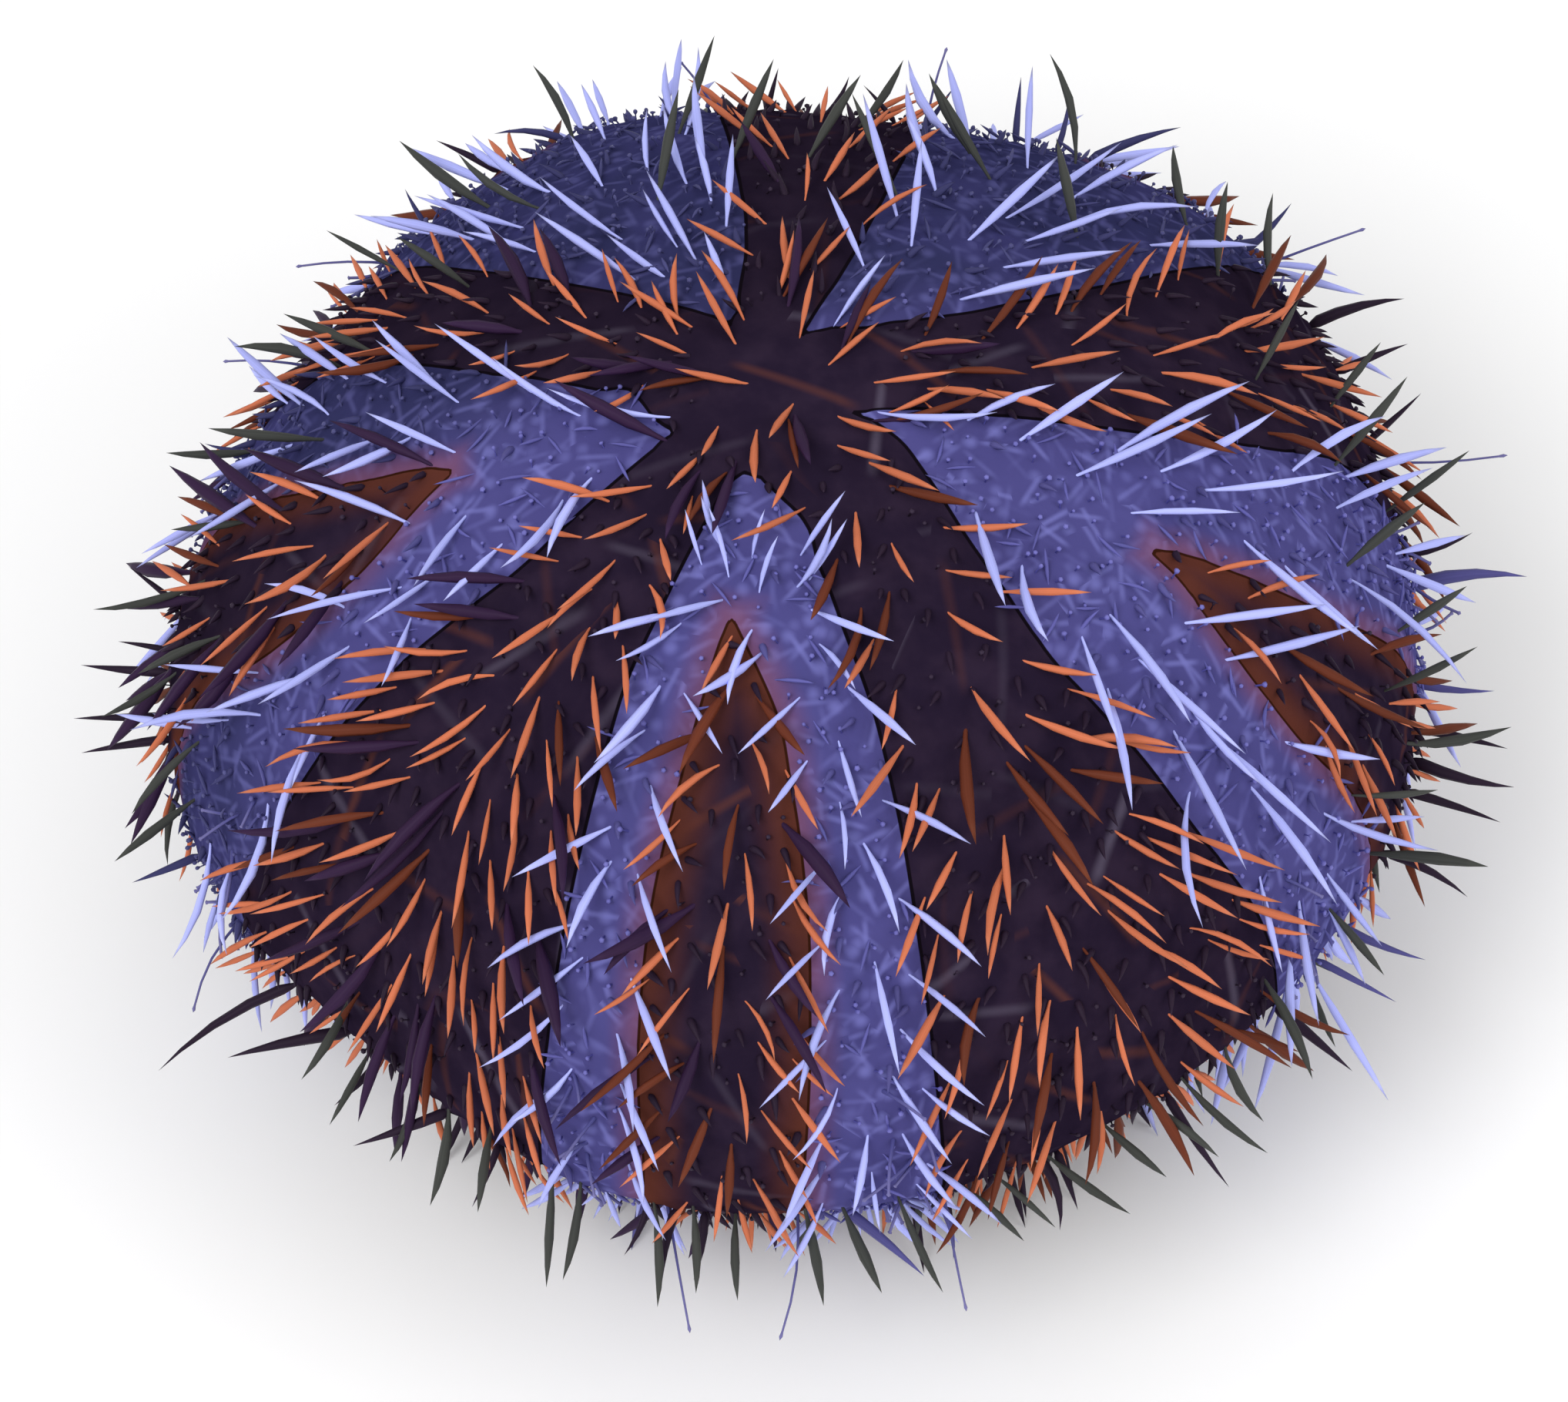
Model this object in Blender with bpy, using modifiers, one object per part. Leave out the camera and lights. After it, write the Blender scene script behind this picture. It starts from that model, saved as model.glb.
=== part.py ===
"""Collector urchin at life size, resting on its lower spines.

The body is a low dome with a flattened underside, parted into five ambulacra and five
interambulacra round an apical disc on top and the mouth field below. Spines grow on
every node. Metres, +Z up, the origin on the floor under the body's axis, the front
towards -Y.
"""
import math
import random

import bmesh
import bpy
from mathutils import Matrix, Vector

# The body
BODY_RADIUS = 0.055
CROWN_RISE = 0.042
ORAL_DROP = 0.024
ORAL_CLEARANCE = 0.006
ORAL_SQUARENESS = 2.4
HOLLOW_DEPTH = 0.0022
HOLLOW_RADIUS = 0.020
AMBITUS_Z = ORAL_CLEARANCE + ORAL_DROP

# The middle plugs and the cuts between nodes
APICAL_RADIUS = 0.009
PERISTOME_RADIUS = 0.0125
PLUG_SPLIT_Z = AMBITUS_Z
CUT_WIDTH = 0.0003
TURN_STEPS = 48
RINGS_ABOVE = 10
RINGS_BELOW = 9
BEYOND = 0.2

# Spines: their rows, and length, width and lean by polar angle in degrees, 0 at the apex
ROW_SPACING = 0.0071
FIRST_ROW = 12.0
LAST_ROW_RADIUS = 0.0165
SPINE_LENGTHS = (
    (12, 0.0080), (30, 0.0100), (55, 0.0104), (80, 0.0090),
    (110, 0.0078), (130, 0.0070), (150, 0.0060), (180, 0.0045),
)
SPINE_WIDTHS = ((0, 0.0010), (15, 0.0012), (35, 0.0016), (110, 0.0016), (180, 0.0013))
SPINE_LEANS = ((12, 58), (30, 62), (60, 62), (85, 60), (100, 55), (118, 42), (132, 5), (140, -18), (180, -15))
FAN_ANGLE = 42
FAN_SHARPNESS = 2.6
LENGTH_SPREAD = 0.12
LEAN_SPREAD = 7
PLACE_SPREAD = 0.0008
ROOT_DEPTH = 0.0018
ROOT_PART = 0.85
BELLY_PLACE = 0.5
EDGE_CLEARANCE = 0.0012
TIP_CLEARANCE = 0.0009
REACH_RADIUS = 0.0642
FLOOR_CLEARANCE = 0.0010

# Long spines stand out square from the skin in one ring, tilted towards the front
LONG_COUNT = 36
LONG_LENGTH = 0.0096
LONG_WIDTH = 0.0017
RING_TILT = 53

# The lower spines that carry the animal stand where the underside has these radii
SUPPORT_INNER = 0.0235
SUPPORT_OUTER = 0.0345
SUPPORT_LEAN = -12
SUPPORT_TIP_PART = 0.7

# The apical disc's cone and small spines, the mouth's lip, teeth and feeding tube feet
ANUS_PLACE = Vector((-0.0010, -0.0006, 0))
ANUS_RADIUS = 0.0019
ANUS_RISE = 0.0012
DISC_RINGS = ((0.0044, 5, 0.5), (0.0068, 10, 0.0))
DISC_SPINE_LENGTH = 0.0036
DISC_SPINE_LEAN = 25
LIP_RADIUS = 0.0044
LIP_THICKNESS = 0.0011
TEETH = 5
TOOTH_LENGTH = 0.0046
TOOTH_WIDTH = 0.0019
TOOTH_PLACE = 0.0017
FEEDING_FEET_RADIUS = 0.0078
FEEDING_FOOT_LENGTH = 0.0026
FEEDING_FOOT_WIDTH = 0.0015

# Zone edges as azimuths in degrees, 0 at the front and growing towards +X
ZONES = (
    ("ambulacrum_front", -25.5, 13.0),
    ("interambulacrum_front_right", 13.0, 46.0),
    ("ambulacrum_right", 46.0, 93.0),
    ("interambulacrum_right", 93.0, 123.5),
    ("ambulacrum_back_right", 123.5, 164.0),
    ("interambulacrum_back", 164.0, 190.0),
    ("ambulacrum_back_left", 190.0, 233.0),
    ("interambulacrum_left", 233.0, 255.0),
    ("ambulacrum_left", 255.0, 301.0),
    ("interambulacrum_front_left", 301.0, 334.5),
)
SEED = 11

AMBULACRUM_COLOUR = (0.063, 0.058, 0.205)
INTERAMBULACRUM_COLOUR = (0.021, 0.013, 0.024)
DISC_COLOUR = (0.018, 0.012, 0.021)
MOUTH_COLOUR = (0.16, 0.08, 0.07)


def clear_scene():
    for obj in list(bpy.data.objects):
        bpy.data.objects.remove(obj, do_unlink=True)


def skin_material(name, colour, roughness=0.55):
    material = bpy.data.materials.new(name)
    material.use_nodes = True
    shader = material.node_tree.nodes["Principled BSDF"]
    shader.inputs["Base Color"].default_value = (*colour, 1.0)
    shader.inputs["Roughness"].default_value = roughness
    shader.inputs["Metallic"].default_value = 0.0
    return material


def interpolate(table, x):
    """The value at x on the straight lines between a table's points."""
    for (x0, y0), (x1, y1) in zip(table, table[1:]):
        if x <= x1:
            return y0 + (y1 - y0) * (x - x0) / (x1 - x0)
    return table[-1][1]


def body_profile(polar):
    """Radius and height of the skin at a polar angle in degrees, 0 at the apex and 180 at the mouth."""
    angle = math.radians(polar)
    if polar <= 90:
        return BODY_RADIUS * math.sin(angle), AMBITUS_Z + CROWN_RISE * math.cos(angle)
    power = 2 / ORAL_SQUARENESS
    radius = BODY_RADIUS * max(math.sin(angle), 0.0) ** power
    height = AMBITUS_Z - ORAL_DROP * (-math.cos(angle)) ** power
    hollow = max(0.0, 1 - radius / HOLLOW_RADIUS) ** 2 * (1 + 2 * radius / HOLLOW_RADIUS)
    return radius, height + HOLLOW_DEPTH * hollow


def polar_at(radius, upper):
    """The polar angle where the skin has a radius, on the upper or the lower side."""
    low, high = (0.0, 90.0) if upper else (90.0, 180.0)
    for _ in range(40):
        middle = (low + high) / 2
        inside = body_profile(middle)[0] < radius
        if inside == upper:
            low = middle
        else:
            high = middle
    return low


def height_at(radius, upper):
    return body_profile(polar_at(radius, upper))[1]


def outward(azimuth):
    """The level direction at an azimuth in degrees."""
    angle = math.radians(azimuth)
    return Vector((math.sin(angle), -math.cos(angle), 0))


def skin_frame(polar, azimuth):
    """A point of the skin, with its outward normal, its way down from the apex and its way round."""
    radius, height = body_profile(polar)
    r0, z0 = body_profile(max(polar - 0.5, 0.0))
    r1, z1 = body_profile(min(polar + 0.5, 180.0))
    out = outward(azimuth)
    down = (out * (r1 - r0) + Vector((0, 0, z1 - z0))).normalized()
    around = Vector((-out.y, out.x, 0))
    return out * radius + Vector((0, 0, height)), down.cross(around), down, around


def turned(name, points, closed):
    """A turned solid from (radius, height) points: a loop off the axis, or a line that ends on it."""
    mesh = bpy.data.meshes.new(name)
    count = len(points)
    edges = [(i, i + 1) for i in range(count - 1)]
    if closed:
        edges.append((count - 1, 0))
    mesh.from_pydata([(radius, 0, height) for radius, height in points], edges, [])
    obj = bpy.data.objects.new(name, mesh)
    bpy.context.scene.collection.objects.link(obj)
    screw = obj.modifiers.new("turn", "SCREW")
    screw.angle = math.tau
    screw.steps = TURN_STEPS
    screw.render_steps = TURN_STEPS
    screw.use_merge_vertices = True
    screw.merge_threshold = 0.00001
    screw.use_normal_calculate = True
    return obj


def applied(obj, name):
    """The evaluated mesh of an object as a new plain object; the old one is removed."""
    graph = bpy.context.evaluated_depsgraph_get()
    mesh = bpy.data.meshes.new_from_object(obj.evaluated_get(graph))
    made = bpy.data.objects.new(name, mesh)
    bpy.context.scene.collection.objects.link(made)
    bpy.data.objects.remove(obj)
    bm = bmesh.new()
    bm.from_mesh(mesh)
    bmesh.ops.recalc_face_normals(bm, faces=bm.faces)
    bm.to_mesh(mesh)
    bm.free()
    return made


def from_bmesh(name, bm):
    """A new object that holds a bmesh, which is freed."""
    mesh = bpy.data.meshes.new(name)
    bm.to_mesh(mesh)
    bm.free()
    return bpy.data.objects.new(name, mesh)


def zone_cutter(name, start, end):
    """An upright wedge between two azimuths, half a cut inside each."""
    half = math.radians((end - start) / 2)
    corner = outward((start + end) / 2) * (CUT_WIDTH / 2 / math.sin(half))
    far = BEYOND / math.cos(half)
    corners = [corner, corner + outward(start) * far, corner + outward(end) * far]
    bm = bmesh.new()
    face = bm.faces.new([bm.verts.new((p.x, p.y, -BEYOND)) for p in corners])
    grown = bmesh.ops.extrude_face_region(bm, geom=[face])["geom"]
    tops = [item for item in grown if isinstance(item, bmesh.types.BMVert)]
    bmesh.ops.translate(bm, verts=tops, vec=(0, 0, 2 * BEYOND))
    bmesh.ops.recalc_face_normals(bm, faces=bm.faces)
    cutter = from_bmesh(name, bm)
    bpy.context.scene.collection.objects.link(cutter)
    cutter.hide_render = True
    cutter.display_type = "WIRE"
    return cutter


def body_ring():
    """The body round its two plugs, turned whole."""
    bore_top = APICAL_RADIUS + CUT_WIDTH
    bore_low = PERISTOME_RADIUS + CUT_WIDTH
    first = polar_at(bore_top, True)
    last = polar_at(bore_low, False)
    steps = [first + (90 - first) * i / RINGS_ABOVE for i in range(RINGS_ABOVE)]
    steps += [90 + (last - 90) * i / RINGS_BELOW for i in range(RINGS_BELOW + 1)]
    points = [body_profile(polar) for polar in steps]
    points += [(bore_low, PLUG_SPLIT_Z), (bore_top, PLUG_SPLIT_Z)]
    return applied(turned("ring_blank", points, closed=True), "body_ring")


def zone_solid(name, start, end, ring):
    """One zone of the body, cut from the ring."""
    blank = bpy.data.objects.new(name + "_blank", ring.data.copy())
    bpy.context.scene.collection.objects.link(blank)
    cutter = zone_cutter(name + "_cutter", start, end)
    cut = blank.modifiers.new("zone", "BOOLEAN")
    cut.operation = "INTERSECT"
    cut.solver = "EXACT"
    cut.object = cutter
    solid = applied(blank, name)
    bpy.data.objects.remove(cutter)
    return solid


def pointed_spine():
    """A four-sided spindle one unit long and wide, along +Z, widest at its belly and drawn to a point."""
    bm = bmesh.new()
    bmesh.ops.create_cone(
        bm, cap_ends=True, segments=4, radius1=ROOT_PART / 2, radius2=0.5, depth=BELLY_PLACE,
        matrix=Matrix.Translation((0, 0, BELLY_PLACE / 2)),
    )
    top = max(bm.faces, key=lambda face: face.calc_center_median().z)
    grown = bmesh.ops.extrude_face_region(bm, geom=[top])["geom"]
    tips = [item for item in grown if isinstance(item, bmesh.types.BMVert)]
    bmesh.ops.delete(bm, geom=[top], context="FACES_ONLY")
    bmesh.ops.pointmerge(bm, verts=tips, merge_co=(0, 0, 1))
    bmesh.ops.recalc_face_normals(bm, faces=bm.faces)
    return bm


def blunt_spine():
    """A four-sided spine one unit long and one wide at its root, along +Z, with a flat end."""
    bm = bmesh.new()
    bmesh.ops.create_cone(
        bm, cap_ends=True, segments=4, radius1=0.5, radius2=SUPPORT_TIP_PART / 2, depth=1,
        matrix=Matrix.Translation((0, 0, 0.5)),
    )
    return bm


def placed(name, bm, root, tip, width, turn=0.0):
    """A unit shape set from a sunk root to a tip, and turned about its own length."""
    along = tip - root
    matrix = (
        Matrix.Translation(root)
        @ along.to_track_quat("Z", "Y").to_matrix().to_4x4()
        @ Matrix.Rotation(turn, 4, "Z")
        @ Matrix.Diagonal((width, width, along.length, 1))
    )
    bm.transform(matrix)
    return from_bmesh(name, bm)


def support_spine(name, root, direction, width):
    """A spine whose flat end lies on the floor."""
    bm = blunt_spine()
    tip = root - direction * (root.z / direction.z)
    spine = placed(name, bm, root, tip, width)
    ends = sorted(spine.data.vertices, key=lambda vertex: vertex.co.z)[:4]
    for vertex in ends:
        vertex.co -= direction * (vertex.co.z / direction.z)
        vertex.co.z = 0.0
    return spine


def held_inside(point, edges, clearance):
    """A point moved level, if need be, to stay a clearance inside both edge planes of a zone."""
    for outside in edges:
        over = point.dot(outside) + clearance
        if over > 0:
            point = point - outside * over
    return point


def zone_edges(start, end):
    """The level normals of a zone's two edge planes, pointing out of the zone."""
    first = outward(start)
    last = outward(end)
    return Vector((first.y, -first.x, 0)), Vector((-last.y, last.x, 0))


def row_polars():
    """Polar angles of the rows of spines, one row spacing apart along the skin."""
    polar = FIRST_ROW
    rows = []
    while polar < polar_at(LAST_ROW_RADIUS, False):
        rows.append(polar)
        r0, z0 = body_profile(polar)
        r1, z1 = body_profile(polar + 1)
        polar += ROW_SPACING / math.hypot(r1 - r0, z1 - z0)
    return rows


def zone_spines(name, start, end, rng):
    """The spines of one zone, in staggered rows that fan out and down from its middle line."""
    edges = zone_edges(start, end)
    spines = []
    for row, polar in enumerate(row_polars()):
        radius = body_profile(polar)[0]
        room = radius * math.radians(end - start)
        count = max(1, round(room / ROW_SPACING))
        for column in range(count):
            shift = 0.25 if row % 2 else -0.25
            part = (column + 0.5 + (shift if count > 1 else 0.6 * shift)) / count
            part += rng.uniform(-1, 1) * PLACE_SPREAD / room
            here = polar + rng.uniform(-1, 1) * math.degrees(PLACE_SPREAD / BODY_RADIUS)
            point, normal, down, around = skin_frame(here, start + (end - start) * part)
            width = interpolate(SPINE_WIDTHS, polar)
            length = interpolate(SPINE_LENGTHS, polar) * (1 + rng.uniform(-1, 1) * LENGTH_SPREAD)
            stands = SUPPORT_INNER < point.xy.length < SUPPORT_OUTER and polar > 90
            lean = interpolate(SPINE_LEANS, polar) + rng.uniform(-1, 1) * LEAN_SPREAD
            lean = math.radians(SUPPORT_LEAN if stands else lean)
            fan = math.radians(FAN_ANGLE * max(-1, min(1, FAN_SHARPNESS * (2 * part - 1))))
            way = down * math.cos(fan) + around * math.sin(fan) * (1 if lean > 0 else -1)
            direction = normal * math.cos(lean) + way * math.sin(lean)
            point = held_inside(point, edges, EDGE_CLEARANCE + width / 2)
            root = held_inside(point - direction * ROOT_DEPTH, edges, EDGE_CLEARANCE + width / 2)
            label = f"{name}_spine_{row}_{column}"
            if stands:
                spines.append(support_spine(label, root, (point - root).normalized(), width))
                continue
            tip = held_in_reach(held_inside(point + direction * length, edges, TIP_CLEARANCE))
            spines.append(placed(label, pointed_spine(), root, tip, width, rng.uniform(0, math.pi / 2)))
    return spines


def held_in_reach(tip):
    """A tip kept within the reach round the body's axis and above the floor."""
    beyond = max(tip.xy.length / REACH_RADIUS, 1)
    return Vector((tip.x / beyond, tip.y / beyond, max(tip.z, FLOOR_CLEARANCE)))


def ring_polar(azimuth):
    """The polar angle at which the skin's normal is square to the tilted ring's axis."""
    tilt = math.radians(RING_TILT)
    axis = Vector((0, -math.cos(tilt), math.sin(tilt)))
    polar = FIRST_ROW
    while skin_frame(polar, azimuth)[1].dot(axis) > 0:
        polar += 0.5
    return polar


def long_spines(name, start, end, rng):
    """The long spines of the tilted ring that stand in one zone."""
    edges = zone_edges(start, end)
    spines = []
    for index in range(LONG_COUNT):
        azimuth = 360 * index / LONG_COUNT
        azimuth -= 360 if azimuth > end else 0
        if start < azimuth < end:
            point, normal, down, around = skin_frame(ring_polar(azimuth), azimuth)
            length = LONG_LENGTH * (1 + rng.uniform(-1, 1) * LENGTH_SPREAD)
            point = held_inside(point, edges, EDGE_CLEARANCE + LONG_WIDTH / 2)
            root = held_inside(point - normal * ROOT_DEPTH, edges, EDGE_CLEARANCE + LONG_WIDTH / 2)
            tip = held_in_reach(held_inside(point + normal * length, edges, TIP_CLEARANCE))
            label = f"{name}_long_spine_{index}"
            spines.append(placed(label, pointed_spine(), root, tip, LONG_WIDTH, rng.uniform(0, math.pi / 2)))
    return spines


def fused(body, pieces):
    """A body joined with its pieces by one union, as its largest closed surface."""
    name = body.name
    group = bpy.data.collections.new(name + "_pieces")
    bpy.context.scene.collection.children.link(group)
    for piece in pieces:
        group.objects.link(piece)
    join = body.modifiers.new("join", "BOOLEAN")
    join.operation = "UNION"
    join.operand_type = "COLLECTION"
    join.solver = "EXACT"
    join.collection = group
    body.name = name + "_bare"
    solid = applied(body, name)
    for piece in pieces:
        bpy.data.objects.remove(piece)
    bpy.data.collections.remove(group)
    keep_largest(solid)
    return solid


def keep_largest(obj):
    """Removes every closed surface of a mesh but the one with the widest box."""
    bm = bmesh.new()
    bm.from_mesh(obj.data)
    left = set(bm.verts)
    shells = []
    while left:
        stack = [left.pop()]
        shell = list(stack)
        while stack:
            for edge in stack.pop().link_edges:
                for vertex in edge.verts:
                    if vertex in left:
                        left.discard(vertex)
                        stack.append(vertex)
                        shell.append(vertex)
        shells.append(shell)
    shells.sort(key=lambda shell: max(v.co.z for v in shell) - min(v.co.z for v in shell))
    loose = [vertex for shell in shells[:-1] for vertex in shell]
    bmesh.ops.delete(bm, geom=loose, context="VERTS")
    bm.to_mesh(obj.data)
    bm.free()


def face_profile(edge, upper, count):
    """Points of the skin from the axis out to an edge radius, as (radius, height)."""
    return [(edge * i / count, height_at(edge * i / count, upper)) for i in range(count + 1)]


def apical_disc(rng):
    """The plug on top, with the anal cone and two rings of small spines."""
    points = face_profile(APICAL_RADIUS, True, 2)
    points += [(APICAL_RADIUS, PLUG_SPLIT_Z + CUT_WIDTH), (0.0, PLUG_SPLIT_Z + CUT_WIDTH)]
    disc = applied(turned("disc_blank", points, closed=False), "apical_disc")
    crown = ANUS_PLACE + Vector((0, 0, height_at(0.0, True)))
    bm = bmesh.new()
    bmesh.ops.create_cone(
        bm, cap_ends=True, segments=10, radius1=ANUS_RADIUS, radius2=ANUS_RADIUS / 2, depth=3 * ANUS_RISE,
        matrix=Matrix.Translation(crown - Vector((0, 0, ANUS_RISE / 2))),
    )
    pieces = [from_bmesh("anal_cone", bm)]
    for ring, (radius, count, phase) in enumerate(DISC_RINGS):
        for index in range(count):
            polar = polar_at(radius, True)
            azimuth = 360 * (index + phase + rng.uniform(-0.15, 0.15)) / count
            point, normal, down, around = skin_frame(polar, azimuth)
            lean = math.radians(DISC_SPINE_LEAN + rng.uniform(-1, 1) * LEAN_SPREAD)
            direction = normal * math.cos(lean) + down * math.sin(lean)
            length = DISC_SPINE_LENGTH * (1 + rng.uniform(-1, 1) * LENGTH_SPREAD)
            root = point - direction * ROOT_DEPTH
            tip = point + direction * length
            width = interpolate(SPINE_WIDTHS, 0)
            pieces.append(placed(f"disc_spine_{ring}_{index}", pointed_spine(), root, tip, width))
    return fused(disc, pieces)


def mouth_lip():
    """The soft ring round the teeth."""
    bpy.ops.mesh.primitive_torus_add(
        major_radius=LIP_RADIUS, minor_radius=LIP_THICKNESS, major_segments=14, minor_segments=5,
        location=(0, 0, height_at(LIP_RADIUS, False)),
    )
    torus = bpy.context.object
    lip = bpy.data.objects.new("lip", torus.data.copy())
    lip.data.transform(torus.matrix_world)
    bpy.data.objects.remove(torus)
    return lip


def tooth(index):
    """One of the five teeth, a pointed wedge that leans in towards the mouth's middle."""
    away = outward(360 * index / TEETH + 36)
    base = height_at(0.0, False)
    root = away * TOOTH_PLACE * 1.5 + Vector((0, 0, base + ROOT_DEPTH))
    tip = away * TOOTH_PLACE * 0.35 + Vector((0, 0, base - TOOTH_LENGTH + ROOT_DEPTH))
    return placed(f"tooth_{index}", pointed_spine(), root, tip, TOOTH_WIDTH, math.pi / 4)


def feeding_foot(index):
    """One of the ten short tube feet on the mouth membrane, in pairs."""
    azimuth = 72 * (index // 2) + (11 if index % 2 else -11) - 6
    point, normal, down, around = skin_frame(polar_at(FEEDING_FEET_RADIUS, False), azimuth)
    root = point - normal * ROOT_DEPTH
    tip = point + normal * FEEDING_FOOT_LENGTH
    return placed(f"feeding_foot_{index}", blunt_spine(), root, tip, FEEDING_FOOT_WIDTH)


def peristome():
    """The plug below, with the mouth membrane, its lip, five teeth and ten feeding tube feet."""
    points = [(0.0, PLUG_SPLIT_Z - CUT_WIDTH), (PERISTOME_RADIUS, PLUG_SPLIT_Z - CUT_WIDTH)]
    points += reversed(face_profile(PERISTOME_RADIUS, False, 3))
    plug = applied(turned("peristome_blank", points, closed=False), "peristome")
    pieces = [mouth_lip()]
    pieces += [tooth(index) for index in range(TEETH)]
    pieces += [feeding_foot(index) for index in range(2 * TEETH)]
    return fused(plug, pieces)


def main():
    clear_scene()
    ambulacral = skin_material("ambulacral_skin", AMBULACRUM_COLOUR)
    interambulacral = skin_material("interambulacral_skin", INTERAMBULACRUM_COLOUR)
    ring = body_ring()
    nodes = []
    for order, (name, start, end) in enumerate(ZONES):
        bare = zone_solid(name, start, end, ring)
        rng = random.Random(SEED + order)
        spines = zone_spines(name, start, end, rng) + long_spines(name, start, end, rng)
        solid = fused(bare, spines)
        solid.data.materials.clear()
        solid.data.materials.append(ambulacral if name.startswith("ambulacrum") else interambulacral)
        nodes.append(solid)
    bpy.data.objects.remove(ring)
    disc = apical_disc(random.Random(SEED - 1))
    disc.data.materials.clear()
    disc.data.materials.append(skin_material("disc_skin", DISC_COLOUR))
    mouth = peristome()
    mouth.data.materials.clear()
    mouth.data.materials.append(skin_material("mouth_membrane", MOUTH_COLOUR, 0.4))
    nodes += [disc, mouth]
    urchin = bpy.data.collections.new("collector_urchin")
    bpy.context.scene.collection.children.link(urchin)
    for node in nodes:
        bpy.context.scene.collection.objects.unlink(node)
        urchin.objects.link(node)
        node.data.shade_smooth()
        node.data.set_sharp_from_angle(angle=math.radians(40))


main()
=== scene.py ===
"""Looks of the collector urchin: its skin, spines, pincers, tube feet and mouth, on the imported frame.

Lengths are in metres and angles in degrees unless a name says mm. A place on the skin is a
polar angle, 0 at the apex and 180 at the mouth, with an azimuth, 0 at the front (-Y) and
growing towards the viewer's right (+X).
"""
import math
from functools import partial

import bpy
import numpy as np
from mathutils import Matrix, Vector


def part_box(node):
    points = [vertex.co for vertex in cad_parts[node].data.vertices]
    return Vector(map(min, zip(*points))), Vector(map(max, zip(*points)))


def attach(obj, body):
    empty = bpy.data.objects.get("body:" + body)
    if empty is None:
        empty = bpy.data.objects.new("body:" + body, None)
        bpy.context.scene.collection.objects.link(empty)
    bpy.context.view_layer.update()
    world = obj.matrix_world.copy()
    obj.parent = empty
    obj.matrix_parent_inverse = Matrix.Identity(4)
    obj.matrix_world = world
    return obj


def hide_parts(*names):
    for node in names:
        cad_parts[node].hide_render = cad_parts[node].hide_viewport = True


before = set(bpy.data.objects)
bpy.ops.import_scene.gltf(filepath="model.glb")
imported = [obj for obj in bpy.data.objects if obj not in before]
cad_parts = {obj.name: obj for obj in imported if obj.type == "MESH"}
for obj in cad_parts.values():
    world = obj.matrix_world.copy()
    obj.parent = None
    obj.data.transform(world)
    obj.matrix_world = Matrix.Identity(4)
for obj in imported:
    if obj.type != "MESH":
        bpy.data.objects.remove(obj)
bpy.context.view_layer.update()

MM = 0.001
SEED = 7

# The body's form, as its solids have it
BODY_RADIUS = 0.055
CROWN_RISE = 0.042
ORAL_DROP = 0.024
AMBITUS_Z = 0.030
ORAL_SQUARENESS = 2.4
HOLLOW_DEPTH = 0.0022
HOLLOW_RADIUS = 0.020
PERISTOME_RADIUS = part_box("peristome")[1].x
# How far the flanks stand out of the round, or in where negative, by azimuth in mm: they swell under
# the blue bands. The swelling grows between these radii, so the crown and the mouth stay round.
FLANKS = (
    (-18, 0.5), (4, -0.3), (38, -2.0), (75, -1.0), (108, 0.3), (138, 3.2), (166, 0.0), (203, 2.0),
    (240, -2.0), (276, 0.2), (320, -2.0),
)
FLANK_RADII = (0.030, 0.052)
# How far the front of the underside is tucked in, in the same way, and the heights between which the
# tuck grows on its way down and ends again
TUCKS = ((-90, 0), (-60, -1.0), (-35, -4.5), (0, -3.0), (35, -4.0), (65, -3.0), (90, 0), (180, 0))
TUCK_STARTS = (0.030, 0.022)
TUCK_ENDS = (0.009, 0.017)

# The skin's grid, and the low bumps on it
SKIN_COLUMNS = 600
SKIN_ROWS = 156
TUBERCLE_RISE = 0.35 * MM
TUBERCLE_RADIUS = 0.9 * MM
# Grooves along the edges of the blue bands and the wedges: depth, and half width in mm
BLUE_GROOVE = (0.25 * MM, 0.9)
WEDGE_GROOVE = (0.20 * MM, 0.8)
# Folds round the mouth: how many, how high, and how much of that by millimetres inside its edge
MOUTH_FOLDS = 30
FOLD_RISE = 0.25 * MM
FOLD_FADE = ((0, 0), (4, 1), (6.5, 1), (12.5, 0))

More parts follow.
